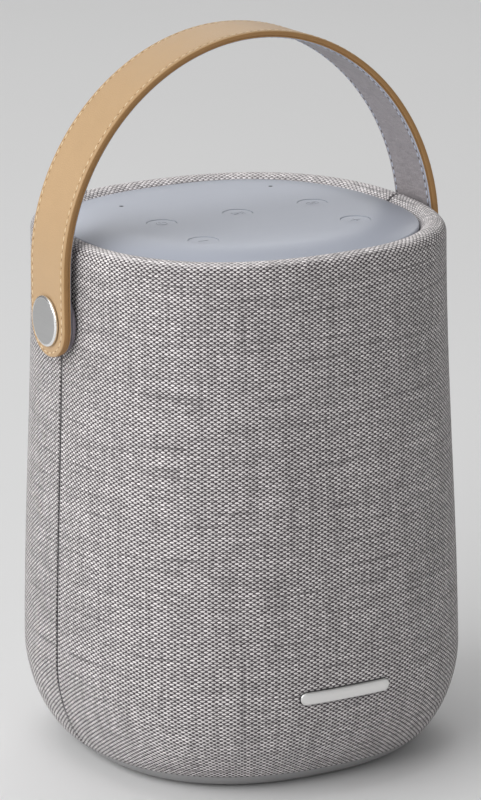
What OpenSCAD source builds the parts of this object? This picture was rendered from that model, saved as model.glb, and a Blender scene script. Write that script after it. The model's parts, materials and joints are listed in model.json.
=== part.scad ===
// Portable smart speaker with a fabric body and a strap handle.
// The origin is the middle of the footprint, on the surface it stands on.
// +Z is up and the badge faces -Y. All sizes are in millimetres.

/* [Body] */
// Full width of the body across its flats, at the widest
body_w = 140; // [136:1:144]
// Full width of the body across its flats, at the top
top_w = 131.2; // [129:0.2:133]
// Full width of the flat underside
base_w = 98; // [90:1:104]
// Height at which the rounded bottom meets the side
round_h = 35; // [32:1:38]
// Height of the rolled top edge
rim_z = 179.7; // [176:0.1:183]
// Radius of the rolled top edge
rim_r = 4.1; // [4:0.1:5.2]
// Exponent of the plan outline: 2 is a circle, more is squarer
squareness = 2.39; // [2.1:0.01:2.6]
// Thickness of the fabric skin
skin_t = 1.2; // [0.8:0.1:1.5]
// Wall thickness of the grille under the fabric
grille_t = 2.5; // [2:0.1:3]

/* [Top] */
// Height of the top cover's face
cover_z = 180.8; // [180:0.1:182]
// Dark gap between the top cover and the fabric
cover_gap = 0.4; // [0.4:0.1:1]
// Diameter of a key
key_d = 9.9; // [9:0.1:11]
// Gap round a key
key_gap = 0.15; // [0.1:0.05:0.3]
// How far a key travels
key_travel = 0.5; // [0.3:0.1:0.6]
// Sideways spacing of the key columns from the middle
key_x = 28.5; // [26:0.5:30]
// Spacing of the key rows
key_y = 28; // [26:0.5:30]

/* [Handle] */
// Height of the handle's pivot
pivot_z = 153.5; // [150:0.5:156]
// Outer radius of the strap's arch
arch_r = 71.2; // [70:0.1:72]
// Height of the middle of the arch
arch_z = 171.5; // [168:0.1:174]
// Width of the strap
strap_w = 22; // [20:0.1:24]
// Thickness of the leather
leather_t = 2.2; // [2:0.1:2.8]
// Thickness of the lining
lining_t = 1; // [0.5:0.1:1.2]
// Diameter of a stud's cap
cap_d = 16.8; // [14:0.2:18]

/* [Badge and port] */
// Length of the badge
badge_l = 33.5; // [28:0.5:36]
// Height of the badge's plate
badge_h = 4.4; // [4:0.1:6]
// Height of the badge above the base
badge_z = 34.5; // [33:0.5:45]
// Height of the charge socket above the base
port_z = 42; // [40:1:50]

/* [Drivers] */
// Height of the woofer's axis
woofer_z = 75; // [74:1:76]
// Outer radius of the woofer's flange
woofer_r = 40; // [38:1:40]
// Height of the tweeter's axis
tweeter_z = 130; // [129.5:0.5:131]
// Height of the passive radiator's axis
radiator_z = 88; // [84:1:92]
// Outer radius of the radiator's frame
radiator_r = 38; // [36:1:39]

/* [Hidden] */
$fn = 64;
eps = 0.01;

// Plan outline and side profile of the body
sides = 64;
wide_half = body_w / 2;
top_half = top_w / 2;
base_half = base_w / 2;
wide_z = 20;
round_power = 1.85;
hem_z = 6;
tuck_z = 171.5;
rim_cz = rim_z - rim_r;
rim_half = side_half(rim_cz) - rim_r;
rim_steps = 8;
skin_gap = 0.1;
under_skin = skin_t + skin_gap;
grille_z0 = 6.2;

// Cabinet: a rounded box with flat walls for the drivers
cab_w = 112;
cab_front = -42;
cab_back = 44;
cab_r = 15;
cab_wall = 3;
cab_z0 = 31;
cab_z1 = 146;
lid_t = 3;

// Top stack, from the face down
cover_t = 2.6;
cover_half = rim_half - rim_r - cover_gap;
cover_z0 = 172;
board_z = 166;
board_t = 1.6;
mat_t = 1;
dome_h = 1.8;
carrier_z = 163;
mic_r = 0.6;
stem_r = 2.2;

// Handle
arch_in = arch_r - leather_t - lining_t;
lining_in = arch_in;
leather_in = arch_r - leather_t;
strap_gap = 0.3;
shaft_r = 3.5;
eyelet_r = 5;
run_gap = 0.05;
cap_t = 1.1;
spacer_t = 1.3;
spacer_r = 11.2;
end_drop = 1.1;
bracket_x = 57.4;
bracket_t = 3;
bracket_h = 18;
boss_t = 1.2;
nut_t = 2.6;

// Battery and base
cell_r = 9.2;
cell_l = 65.2;
cell_y = 10;
cell_z = 17;
foot_t = 0.8;
foot_half = base_half - 1;
base_plate_z = 5;

screw_r = 1.5;
pin_r = 1.4;
pin_h = 2.4;

function side_half(z) = top_half
    + (wide_half - top_half) * (1 + cos(180 * max(z - wide_z, 0) / (rim_z - wide_z))) / 2;
function skin_half(z) = z >= round_h ? side_half(z)
    : base_half + (side_half(round_h) - base_half)
        * pow(1 - pow(1 - z / round_h, round_power), 1 / round_power);
function plan(t) = [
    sign(cos(t)) * pow(abs(cos(t)), 2 / squareness),
    sign(sin(t)) * pow(abs(sin(t)), 2 / squareness)
];
function plan_ring(half, z) = [
    for (i = [0:sides - 1]) let (p = plan(360 * i / sides)) [half * p[0], half * p[1], z]
];
function plan_outline(half) = [for (i = [0:sides - 1]) half * plan(360 * i / sides)];

// Heights of the rings: close together in the rounded bottom, wide apart on the side
function low_rings(z0) = [for (i = [0:7]) z0 + (round_h - z0) * pow(i / 8, 1.7)];
function side_rings() = [for (i = [0:8]) round_h + (rim_cz - round_h) * i / 8];
function rings(z0) = concat(low_rings(z0), side_rings());
function rim_arc(r, from, to) = [
    for (i = [0:rim_steps])
        let (t = from + (to - from) * i / rim_steps) [rim_half + r * cos(t), rim_cz + r * sin(t)]
];
function flip(list) = [for (i = [len(list) - 1:-1:0]) list[i]];
function wall(z0, inset) = [for (z = rings(z0)) [skin_half(z) - inset, z]];

// A thin outline of [half width, height] points, whose second half runs back beside its first half,
// carried round the plan from one angle to another
module plan_sweep(outline, from, to) {
    n = len(outline);
    cap = [for (j = [0:n / 2 - 2]) each [[j, j + 1, n - 2 - j], [j, n - 2 - j, n - 1 - j]]];
    steps = round(sides * (to - from) / 360);
    points = [
        for (i = [0:steps]) let (p = plan(from + (to - from) * i / steps))
            for (q = outline) [q[0] * p[0], q[0] * p[1], q[1]]
    ];
    skin = [
        for (i = [0:steps - 1], j = [0:n - 1])
            let (a = i * n + j, b = i * n + (j + 1) % n, c = b + n, d = a + n)
                each [[a, b, c], [a, c, d]]
    ];
    start = [for (t = cap) flip(t)];
    finish = [for (t = cap) [for (j = t) steps * n + j]];
    polyhedron(points, concat(skin, start, finish), convexity = 6);
}

// A solid through a stack of plan rings, given as [half width, height] from the bottom up
module plan_loft(levels) {
    n = sides;
    points = [for (q = levels) each plan_ring(q[0], q[1])];
    skin = [
        for (k = [0:len(levels) - 2], i = [0:n - 1])
            let (a = k * n + i, b = a + n, c = (k + 1) * n + (i + 1) % n, d = k * n + (i + 1) % n)
                each [[a, b, c], [a, c, d]]
    ];
    top = (len(levels) - 1) * n;
    caps = [[for (i = [0:n - 1]) i], [for (i = [n - 1:-1:0]) top + i]];
    polyhedron(points, concat(skin, caps), convexity = 4);
}

// A box from its middle and size
module block(middle, size) {
    translate(middle) cube(size, center = true);
}

// A box with upright rounded edges, from its middle
module rounded_block(middle, size, r) {
    translate([middle[0], middle[1], middle[2] - size[2] / 2])
        linear_extrude(size[2]) rounded_rect(size[0], size[1], r);
}

module rounded_rect(w, d, r) {
    square([w - 2 * r, d], center = true);
    square([w, d - 2 * r], center = true);
    for (x = [-1, 1], y = [-1, 1])
        translate([x * (w / 2 - r), y * (d / 2 - r)]) circle(r);
}

// Turns a shape drawn along +Z so that it points to the front, at a height
module facing_front(y, z) {
    translate([0, y, z]) rotate([90, 0, 0]) children();
}

module facing_back(y, z) {
    translate([0, y, z]) rotate([-90, 0, 0]) children();
}

// Turns a shape drawn along +Z so that it points out at the pivot: side is -1 left, 1 right
module at_pivot(side) {
    translate([0, 0, pivot_z]) rotate([0, side * 90, 0]) children();
}

module ring(outer, inner, h) {
    difference() {
        cylinder(h = h, r = outer);
        translate([0, 0, -1]) cylinder(h = h + 2, r = inner);
    }
}

module on_circle(count, r, start = 0) {
    for (i = [0:count - 1]) rotate(start + 360 * i / count) translate([r, 0, 0]) children();
}

module pan_screw(length) {
    cylinder(h = 1.6, r = 2.6);
    translate([0, 0, -length]) cylinder(h = length + 0.1, r = screw_r);
}

// ---- Fabric and grille ----

// A shell that runs up the side, over the rim and down to the tuck, with its outside at an inset
function shell_side(z0, inset) = concat(
    wall(z0, inset),
    [for (i = [1:rim_steps]) rim_arc(rim_r - inset, 0, 180)[i]],
    [[rim_half - rim_r + inset, tuck_z]]
);
function shell(z0, inset, thick) = concat(shell_side(z0, inset), flip(shell_side(z0, inset + thick)));
skin_outline = shell(hem_z, 0, skin_t);
grille_outline = shell(grille_z0, under_skin, grille_t);

module stud_hole(r) {
    for (side = [-1, 1]) at_pivot(side) translate([0, 0, 50]) cylinder(h = 30, r = r);
}

module port_hole(w, h) {
    facing_back(60, port_z) translate([0, 0, -10]) linear_extrude(30) rounded_rect(w, h, h / 2 - eps);
}

module fabric_front() {
    color([0.65, 0.63, 0.62]) difference() {
        plan_sweep(skin_outline, 180, 360);
        stud_hole(4.2);
        facing_front(-40, badge_z) linear_extrude(60)
            rounded_rect(badge_l + 0.2, badge_h + 0.2, badge_h / 2 + 0.09);
    }
}

module fabric_rear() {
    color([0.65, 0.63, 0.62]) difference() {
        plan_sweep(skin_outline, 0, 180);
        stud_hole(4.2);
        port_hole(27.4, 13.4);
    }
}

// Sound slots across a grille half: y is -1 front, 1 rear
module sound_slots(y, z0, count) {
    for (i = [0:count - 1]) block([0, y * 60, z0 + 13 * i], [84, 60, 8.4]);
}

module grille_front() {
    color([0.13, 0.13, 0.14]) difference() {
        plan_sweep(grille_outline, 180, 360);
        stud_hole(3.9);
        sound_slots(-1, 48, 8);
    }
}

module grille_rear() {
    color([0.13, 0.13, 0.14]) difference() {
        plan_sweep(grille_outline, 0, 180);
        stud_hole(3.9);
        sound_slots(1, 64, 6);
        port_hole(27, 13);
    }
}

// ---- Top: cover, keys and boards ----

key_places = [[-key_x, 0], [0, 0], [key_x, 0], [-key_x, -key_y], [key_x, -key_y]];
mic_places = [[-key_x, key_y], [key_x, key_y]];
cover_fall = 2.8;
cover_roll = 16;
// Height of the cover's face at a distance in from its edge: flat, then falling away to the edge
function cover_face(d) = cover_z - cover_fall * pow(1 - min(d, cover_roll) / cover_roll, 2.2);
cover_levels = [
    [cover_half, cover_z0],
    [cover_half, cover_face(0) - 0.9],
    [cover_half - 0.2, cover_face(0) - 0.3],
    for (d = [0.8, 2, 4, 6, 8, 10, 12, 14, 16]) [cover_half - d, cover_face(d)]
];

module top_cover() {
    color([0.70, 0.71, 0.74]) difference() {
        plan_loft(cover_levels);
        plan_loft([
            [cover_half - 2, cover_z0 - 1], [cover_half - 2, 174.5], [cover_half - 9, cover_z - cover_t]
        ]);
        for (p = key_places)
            translate([p[0], p[1], 160]) cylinder(h = 30, r = key_d / 2 + key_gap);
        for (p = mic_places) translate([p[0], p[1], 160]) cylinder(h = 30, r = mic_r);
    }
}

key_drop = 0.15;
key_flange = 1;
flange_top = cover_z - cover_t - 0.1;
stem_z = board_z + board_t + dome_h + key_travel + 0.2;

// A key: a disc in the cover, a flange that the cover holds down, and a stem to the mat
module key(place) {
    color([0.69, 0.70, 0.73]) translate([place[0], place[1], 0]) {
        translate([0, 0, flange_top - 0.1])
            cylinder(h = cover_z - key_drop - flange_top + 0.1, r = key_d / 2);
        translate([0, 0, flange_top - key_flange]) cylinder(h = key_flange, r = key_d / 2 + 1.2);
        translate([0, 0, stem_z]) cylinder(h = flange_top - 0.1 - stem_z, r = stem_r);
    }
}

module power_key() { key(key_places[0]); }
module play_key() { key(key_places[1]); }
module link_key() { key(key_places[2]); }
module minus_key() { key(key_places[3]); }
module plus_key() { key(key_places[4]); }

// Silicone mat on the board, with a dome under each key
module key_mat() {
    color([0.25, 0.25, 0.27]) {
        translate([0, -key_y / 2, board_z + board_t])
            linear_extrude(mat_t) rounded_rect(2 * key_x + 8, key_y + 14, 4);
        for (p = key_places) translate([p[0], p[1], board_z + board_t]) {
            cylinder(h = dome_h - 0.4, r1 = 4, r2 = 3.2);
            cylinder(h = dome_h, r = 2.4);
        }
    }
}

module top_board() {
    color([0.05, 0.28, 0.16]) difference() {
        translate([0, 0, board_z]) linear_extrude(board_t) rounded_rect(76, 74, 6);
        for (p = mic_places) translate([p[0], p[1], 150]) cylinder(h = 30, r = mic_r);
        for (x = [-1, 1], y = [-1, 1]) translate([x * 34, y * 33, 150]) cylinder(h = 30, r = pin_r + 0.1);
    }
}

// A soft tube from the board up to the cover at each microphone hole
module mic_seals() {
    seal_z = board_z + board_t;
    color([0.16, 0.16, 0.17]) for (p = mic_places)
        translate([p[0], p[1], seal_z]) ring(3, 1, cover_z - cover_t - seal_z);
}

// Ring under the cover: it carries the board and closes the top of the grille
module cover_carrier() {
    posts_z = board_z - carrier_z;
    color([0.2, 0.2, 0.22]) {
        translate([0, 0, carrier_z]) linear_extrude(2) difference() {
            polygon(plan_outline(skin_half(carrier_z) - under_skin - grille_t - 0.1));
            rounded_rect(60, 58, 8);
        }
        translate([0, 0, carrier_z]) linear_extrude(cover_z0 - carrier_z) difference() {
            polygon(plan_outline(cover_half - 0.2));
            polygon(plan_outline(cover_half - 2.4));
        }
        for (x = [-1, 1], y = [-1, 1])
            translate([x * 34, y * 33, carrier_z]) {
                cylinder(h = posts_z, r = 3);
                cylinder(h = posts_z + pin_h, r = pin_r);
            }
    }
}

// ---- Electronics on the cabinet ----

main_z = 150;

module main_board() {
    color([0.05, 0.28, 0.16]) difference() {
        translate([0, 0, main_z]) linear_extrude(board_t) rounded_rect(88, 72, 4);
        for (x = [-1, 1], y = [-1, 1]) translate([x * 39, y * 31, 140]) cylinder(h = 30, r = pin_r + 0.1);
    }
}

module shield_can() {
    color([0.75, 0.76, 0.78]) difference() {
        rounded_block([-20, 12, main_z + board_t + 1.5], [28, 22, 3], 1);
        rounded_block([-20, 12, main_z + board_t + 1.1], [27, 21, 2.6], 0.8);
    }
}

module heat_sink() {
    color([0.3, 0.3, 0.32]) {
        block([18, -8, main_z + board_t + 1], [38, 30, 2]);
        for (i = [0:7]) block([2.4 + 4.45 * i, -8, main_z + board_t + 4.4], [1.4, 30, 5.2]);
    }
}

// Two printed antennas that stand on the lid, left and right of the board
module antennas() {
    color([0.1, 0.3, 0.4]) for (side = [-1, 1])
        block([side * 47.5, 14, cab_z1 + 6], [1, 26, 12]);
}

// Flat cable from the main board up to the top board
module flat_cable() {
    low = main_z + board_t;
    color([0.92, 0.92, 0.9]) translate([4, 27, 0]) {
        block([0, 0, (low + board_z) / 2], [12, 0.4, board_z - low]);
        block([0, -2.9, low + 0.2], [12, 6, 0.4]);
        block([0, -2.9, board_z - 0.2], [12, 6, 0.4]);
    }
}

// ---- Cabinet ----

module cabinet_plan(inset) {
    translate([0, (cab_front + cab_back) / 2])
        rounded_rect(cab_w - 2 * inset, cab_back - cab_front - 2 * inset, cab_r - inset);
}

cab_screws = [for (x = [-1, 1], y = [-1, 1]) [x * 45, 1 + y * 33]];

module cabinet_body() {
    color([0.12, 0.12, 0.13]) difference() {
        union() {
            difference() {
                translate([0, 0, cab_z0]) linear_extrude(cab_z1 - lid_t - cab_z0) cabinet_plan(0);
                translate([0, 0, cab_z0 + cab_wall]) linear_extrude(200) cabinet_plan(cab_wall);
            }
            for (p = cab_screws)
                translate([p[0], p[1], cab_z0 + 1]) cylinder(h = cab_z1 - lid_t - cab_z0 - 1, r = 4);
        }
        facing_front(cab_front, woofer_z) translate([0, 0, -10]) cylinder(h = 20, r = woofer_r - 5);
        facing_front(cab_front, tweeter_z) translate([0, 0, -10]) cylinder(h = 20, r = 11);
        facing_back(cab_back, radiator_z) translate([0, 0, -10]) cylinder(h = 20, r = radiator_r - 5.5);
        for (p = cab_screws) translate([p[0], p[1], cab_z1 - 16]) cylinder(h = 30, r = screw_r);
        driver_screw_places() translate([0, 0, -8]) cylinder(h = 10, r = screw_r);
    }
}

module cabinet_lid() {
    color([0.14, 0.14, 0.15]) difference() {
        union() {
            translate([0, 0, cab_z1 - lid_t]) linear_extrude(lid_t) cabinet_plan(0);
            for (x = [-1, 1], y = [-1, 1])
                translate([x * 39, y * 31, cab_z1 - eps]) {
                    cylinder(h = main_z - cab_z1 + eps, r = 2.8);
                    cylinder(h = main_z - cab_z1 + pin_h, r = pin_r);
                }
        }
        for (p = cab_screws) translate([p[0], p[1], cab_z1 - 16]) cylinder(h = 30, r = screw_r + 0.1);
    }
}

module cabinet_screws() {
    color([0.35, 0.35, 0.37]) for (p = cab_screws)
        translate([p[0], p[1], cab_z1]) pan_screw(10);
}

// ---- Woofer: drawn along its axis, +Z outwards, 0 at the baffle ----

module at_woofer() { facing_front(cab_front, woofer_z) children(); }
flange_t = 2.4;
gasket_t = 0.8;
flange_z = gasket_t;

// Places the children at every driver screw, +Z outwards, on the face of its flange
module driver_screw_places() {
    at_woofer() on_circle(4, woofer_r - 2.6, 45) children();
    facing_front(cab_front, tweeter_z) on_circle(3, 12.1, -90) children();
    facing_back(cab_back, radiator_z) on_circle(4, radiator_r - 2.8, 45) children();
}

module woofer_gasket() {
    color([0.1, 0.1, 0.1]) at_woofer() difference() {
        ring(woofer_r, woofer_r - 5, gasket_t);
        on_circle(4, woofer_r - 2.6, 45) translate([0, 0, -1]) cylinder(h = 4, r = screw_r + 0.1);
    }
}

module woofer_basket() {
    color([0.2, 0.2, 0.21]) at_woofer() difference() {
        rotate_extrude() polygon([
            [woofer_r, flange_z], [woofer_r, flange_z + flange_t], [33.9, flange_z + flange_t],
            [33.9, flange_z], [32.6, flange_z], [30, -8], [23, -22.4], [14.6, -22.4], [14.6, -24],
            [24.5, -24], [31.6, -8.6], [34.9, -0.6], [34.9, flange_z]
        ]);
        on_circle(4, woofer_r - 2.6, 45) translate([0, 0, -1]) cylinder(h = 6, r = screw_r + 0.1);
        on_circle(6, 28, 0) translate([0, 0, -21]) rotate([0, 12, 0]) cylinder(h = 16, r = 6);
    }
}

module woofer_magnet() {
    color([0.17, 0.17, 0.18]) at_woofer() {
        translate([0, 0, -38]) ring(26, 15, 11);
    }
}

// Front plate, back plate and pole piece
module woofer_yoke() {
    color([0.6, 0.6, 0.62]) at_woofer() {
        translate([0, 0, -27]) ring(24, 13.6, 3);
        translate([0, 0, -42]) cylinder(h = 4, r = 25);
        translate([0, 0, -38.1]) cylinder(h = 14.1, r = 12);
    }
}

module voice_coil() {
    color([0.72, 0.42, 0.2]) at_woofer() {
        translate([0, 0, -34]) ring(13.2, 12.4, 22.6);
    }
}

spider_in = 13.6;
spider_step = 1.42;

module woofer_spider() {
    color([0.75, 0.66, 0.4]) at_woofer() {
        translate([0, 0, -18]) rotate_extrude() polygon(concat(
            [for (i = [0:8]) [spider_in + i * spider_step, 0.8 + 0.5 * cos(180 * i)]],
            [for (i = [8:-1:0]) [spider_in + i * spider_step, 0.5 * cos(180 * i)]]
        ));
    }
}

module woofer_cone() {
    color([0.08, 0.08, 0.09]) at_woofer() rotate_extrude() polygon([
        [13.2, -11.5], [13.2, -13], [17, -11.4], [27.6, -1.2], [28.6, -1.2], [28.6, -0.4],
        [27.2, -0.4], [16.6, -10.4]
    ]);
}

module dust_cap() {
    color([0.1, 0.1, 0.11]) at_woofer() translate([0, 0, -11.2]) rotate_extrude() difference() {
        translate([0, -14]) circle(r = 19.8);
        translate([0, -14]) circle(r = 19.1);
        translate([-30, -40]) square([60, 40]);
        translate([-30, -40]) square([30, 80]);
    }
}

module woofer_surround() {
    color([0.06, 0.06, 0.07]) at_woofer() translate([0, 0, flange_z]) rotate_extrude() {
        translate([28.9, 0]) square([1, 0.5]);
        translate([33, 0]) square([0.8, 0.5]);
        difference() {
            translate([31.3, 0]) circle(r = 1.9);
            translate([31.3, 0]) circle(r = 1.3);
            translate([28, -4.9]) square([8, 4.9]);
        }
    }
}

// ---- Tweeter and passive radiator ----

module tweeter_plate() {
    color([0.11, 0.11, 0.12]) facing_front(cab_front, tweeter_z) difference() {
        cylinder(h = 2, r = 14.2);
        translate([0, 0, -1]) cylinder(h = 4, r = 9);
        on_circle(3, 12.1, -90) translate([0, 0, -1]) cylinder(h = 4, r = screw_r + 0.1);
    }
}

module tweeter_magnet() {
    color([0.3, 0.3, 0.32]) facing_front(cab_front, tweeter_z) {
        translate([0, 0, -10]) cylinder(h = 2, r = 10.5);
        translate([0, 0, -8.1]) ring(10.5, 7.6, 8.1);
        translate([0, 0, -8.1]) cylinder(h = 6.1, r = 6.2);
    }
}

// Dome with its rolled edge and its coil
module tweeter_dome() {
    color([0.75, 0.76, 0.78]) facing_front(cab_front, tweeter_z) {
        translate([0, 0, -4.6]) ring(7.2, 6.6, 5.3);
        translate([0, 0, 0.6]) rotate_extrude() {
            difference() {
                translate([0, -9]) circle(r = 11.5);
                translate([0, -9]) circle(r = 11.1);
                translate([-20, -30]) square([40, 30]);
                translate([-20, -30]) square([20, 60]);
            }
            translate([6.6, 0]) square([2.1, 0.4]);
        }
    }
}

module radiator_frame() {
    color([0.11, 0.11, 0.12]) facing_back(cab_back, radiator_z) difference() {
        ring(radiator_r, radiator_r - 6, 2.4);
        on_circle(4, radiator_r - 2.8, 45) translate([0, 0, -1]) cylinder(h = 5, r = screw_r + 0.1);
    }
}

module radiator_surround() {
    color([0.06, 0.06, 0.07]) facing_back(cab_back, radiator_z) rotate_extrude() {
        translate([25.2, 2.4]) square([1.2, 0.6]);
        translate([31.4, 2.4]) square([1.2, 0.6]);
        difference() {
            translate([28.9, 2.4]) circle(r = 2.9);
            translate([28.9, 2.4]) circle(r = 2.3);
            translate([20, -7.6]) square([20, 10]);
        }
    }
}

module radiator_plate() {
    color([0.2, 0.2, 0.21]) facing_back(cab_back, radiator_z) {
        cylinder(h = 2.6, r = 24.8);
        translate([0, 0, -2]) cylinder(h = 3, r = 12);
    }
}

module driver_screws() {
    color([0.3, 0.3, 0.32]) {
        at_woofer() on_circle(4, woofer_r - 2.6, 45)
            translate([0, 0, flange_z + flange_t]) pan_screw(9);
        facing_front(cab_front, tweeter_z) on_circle(3, 12.1, -90) translate([0, 0, 2]) pan_screw(7);
        facing_back(cab_back, radiator_z) on_circle(4, radiator_r - 2.8, 45)
            translate([0, 0, 2.4]) pan_screw(8);
    }
}

// ---- Battery and base ----

base_screw_places = [for (x = [-1, 1], y = [-1, 1]) [x * 30, y * 24.5]];
contact_places = [for (i = [-1:1]) [i * 9, 0]];

module battery_holder() {
    h = cab_z0 - base_plate_z;
    color([0.16, 0.16, 0.18]) difference() {
        union() {
            rounded_block([0, 0, base_plate_z + h / 2], [cell_l + 7, 4 * cell_r + 7, h], 3);
            for (p = base_screw_places) translate([p[0], p[1], base_plate_z]) cylinder(h = h, r = 4.5);
        }
        for (y = [-1, 1]) translate([-cell_l / 2 - 0.4, y * cell_y, cell_z]) rotate([0, 90, 0])
            cylinder(h = cell_l + 0.8, r = cell_r + 0.2);
        block([0, 0, cab_z0 - 2], [cell_l + 0.8, 4 * cell_r + 0.8, 14]);
        for (p = base_screw_places) translate([p[0], p[1], 0]) cylinder(h = 16, r = screw_r);
    }
}

module battery_cells() {
    color([0.2, 0.45, 0.65]) for (y = [-1, 1])
        translate([-cell_l / 2, y * cell_y, cell_z]) rotate([0, 90, 0]) {
            cylinder(h = cell_l - 1.2, r = cell_r);
            cylinder(h = cell_l, r = 3);
        }
}

plate_half = skin_half(grille_z0) - under_skin - grille_t - 0.4;

module base_cap() {
    color([0.55, 0.55, 0.56]) difference() {
        plan_loft([
            [skin_half(foot_t) - 0.4, foot_t], [skin_half(1.3) - 0.2, 1.3],
            [skin_half(2.4) - 0.2, 2.4], [skin_half(4) - 0.2, 4],
            [skin_half(hem_z) - 0.2, hem_z - 0.1], [plate_half, hem_z - 0.1], [plate_half, base_plate_z]
        ]);
        for (p = base_screw_places) translate([p[0], p[1], 0]) {
            cylinder(h = 10, r = screw_r + 0.2);
            translate([0, 0, -1]) cylinder(h = 3.8, r = 2.9);
        }
        for (p = contact_places) translate([p[0], p[1], -1]) cylinder(h = 10, r = 2.7);
    }
}

module foot_ring() {
    color([0.42, 0.42, 0.43]) linear_extrude(foot_t) difference() {
        polygon(plan_outline(foot_half));
        polygon(plan_outline(foot_half - 6));
    }
}

module base_screws() {
    color([0.3, 0.3, 0.32]) for (p = base_screw_places)
        translate([p[0], p[1], 2.8]) rotate([180, 0, 0]) pan_screw(9);
}

module dock_contacts() {
    color([0.85, 0.68, 0.32]) for (p = contact_places) translate([p[0], p[1], 0.9])
        cylinder(h = base_plate_z - 0.9, r = 2.6);
}

// ---- Badge and port ----

badge_y = -skin_half(badge_z) - 0.35;

module badge() {
    facing_front(badge_y + 1.6, badge_z) color([0.8, 0.8, 0.8]) {
        linear_extrude(1.6) rounded_rect(badge_l, badge_h, badge_h / 2 - eps);
    }
}

port_face = skin_half(port_z) + 0.35;
port_depth = 5.4;
recess_w = 13;
recess_h = 7;
recess_depth = 4;

module port_panel() {
    color([0.14, 0.14, 0.15]) difference() {
        facing_back(port_face - port_depth, port_z) linear_extrude(port_depth)
            rounded_rect(26.6, 12.6, 6.2);
        facing_back(port_face - recess_depth, port_z) linear_extrude(recess_depth + 1)
            rounded_rect(recess_w, recess_h, 3.4);
        facing_back(port_face - port_depth - 1, port_z) linear_extrude(port_depth + 1)
            rounded_rect(9.6, 3.8, 1.85);
    }
}

// Shell of the socket, its tongue and its little board
module charge_socket() {
    depth = 8.6;
    facing_back(port_face - recess_depth - depth, port_z) color([0.7, 0.7, 0.72]) {
        difference() {
            linear_extrude(depth) rounded_rect(9.2, 3.4, 1.65);
            translate([0, 0, 1.4]) linear_extrude(depth) rounded_rect(8.5, 2.7, 1.3);
        }
        translate([0, 0, 0.7]) linear_extrude(depth - 1.6) square([6.6, 0.7], center = true);
        block([0, 2.2, 2.6], [16, 1.2, 5.2]);
    }
}

// ---- Handle and its pivots ----

cap_x = arch_r + strap_gap;

module bracket(side) {
    color([0.18, 0.18, 0.2]) difference() {
        union() {
            block([side * (bracket_x + bracket_t / 2), 0, pivot_z], [bracket_t, 22, bracket_h]);
            at_pivot(side) translate([0, 0, bracket_x + bracket_t - eps]) cylinder(h = boss_t, r = 6);
        }
        at_pivot(side) translate([0, 0, 40]) cylinder(h = 40, r = shaft_r);
    }
}

// Shaft through the body with a bevelled, slightly crowned cap outside the strap
module stud(side) {
    r = cap_d / 2;
    in_x = bracket_x - nut_t - 0.6;
    color([0.78, 0.78, 0.79]) at_pivot(side) rotate_extrude() polygon([
        [0, in_x], [shaft_r, in_x], [shaft_r, cap_x], [r - 0.2, cap_x], [r, cap_x + 0.2],
        [r, cap_x + cap_t - 0.45], [r - 0.4, cap_x + cap_t - 0.1], [r - 3, cap_x + cap_t - 0.04],
        [0, cap_x + cap_t]
    ]);
}

module stud_nuts() {
    color([0.6, 0.6, 0.62]) for (side = [-1, 1]) at_pivot(side) difference() {
        translate([0, 0, bracket_x - nut_t]) cylinder(h = nut_t, r = 6, $fn = 6);
        cylinder(h = 100, r = shaft_r);
    }
}

module spacer(side) {
    z = arch_in - strap_gap - spacer_t;
    color([0.24, 0.24, 0.26]) at_pivot(side) translate([0, 0, z]) rotate_extrude() polygon([
        [shaft_r, -0.2], [spacer_r - 0.6, -0.2], [spacer_r, 0.2], [spacer_r, spacer_t - 0.3],
        [spacer_r - 0.3, spacer_t], [shaft_r, spacer_t]
    ]);
}

module eyelet(side) {
    color([0.6, 0.6, 0.6]) at_pivot(side)
        translate([0, 0, arch_in]) ring(eyelet_r, shaft_r + run_gap, arch_r - arch_in);
}

// A band that runs over the arch and down both sides, between two radii
module arch_band(outer, inner) {
    leg = arch_z - pivot_z + strap_w;
    difference() {
        union() {
            translate([0, strap_w / 2, arch_z]) rotate([90, 0, 0])
                cylinder(h = strap_w, r = outer, $fn = 128);
            translate([-outer, -strap_w / 2, arch_z - leg]) cube([2 * outer, strap_w, leg]);
        }
        translate([0, strap_w, arch_z]) rotate([90, 0, 0])
            cylinder(h = 2 * strap_w, r = inner, $fn = 128);
        translate([-inner, -strap_w, arch_z - leg - 1]) cube([2 * inner, 2 * strap_w, leg + 1]);
    }
}

// Keeps what is above the pivots, and rounds the ends just below them
module strap_ends() {
    end_z = pivot_z - end_drop;
    translate([-100, -strap_w, end_z]) cube([200, 2 * strap_w, 120]);
    translate([-100, 0, end_z]) rotate([0, 90, 0]) cylinder(h = 200, r = strap_w / 2);
}

module eyelet_holes() {
    translate([-100, 0, pivot_z]) rotate([0, 90, 0]) cylinder(h = 200, r = eyelet_r);
}

module strap_leather() {
    color([0.82, 0.69, 0.52]) difference() {
        intersection() {
            arch_band(arch_r, leather_in);
            strap_ends();
        }
        eyelet_holes();
    }
}

module strap_lining() {
    color([0.58, 0.57, 0.57]) difference() {
        intersection() {
            arch_band(leather_in, lining_in);
            strap_ends();
        }
        eyelet_holes();
    }
}

module bracket_left() { bracket(-1); }
module bracket_right() { bracket(1); }
module stud_left() { stud(-1); }
module stud_right() { stud(1); }
module spacer_left() { spacer(-1); }
module spacer_right() { spacer(1); }
module eyelet_left() { eyelet(-1); }
module eyelet_right() { eyelet(1); }

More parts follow.
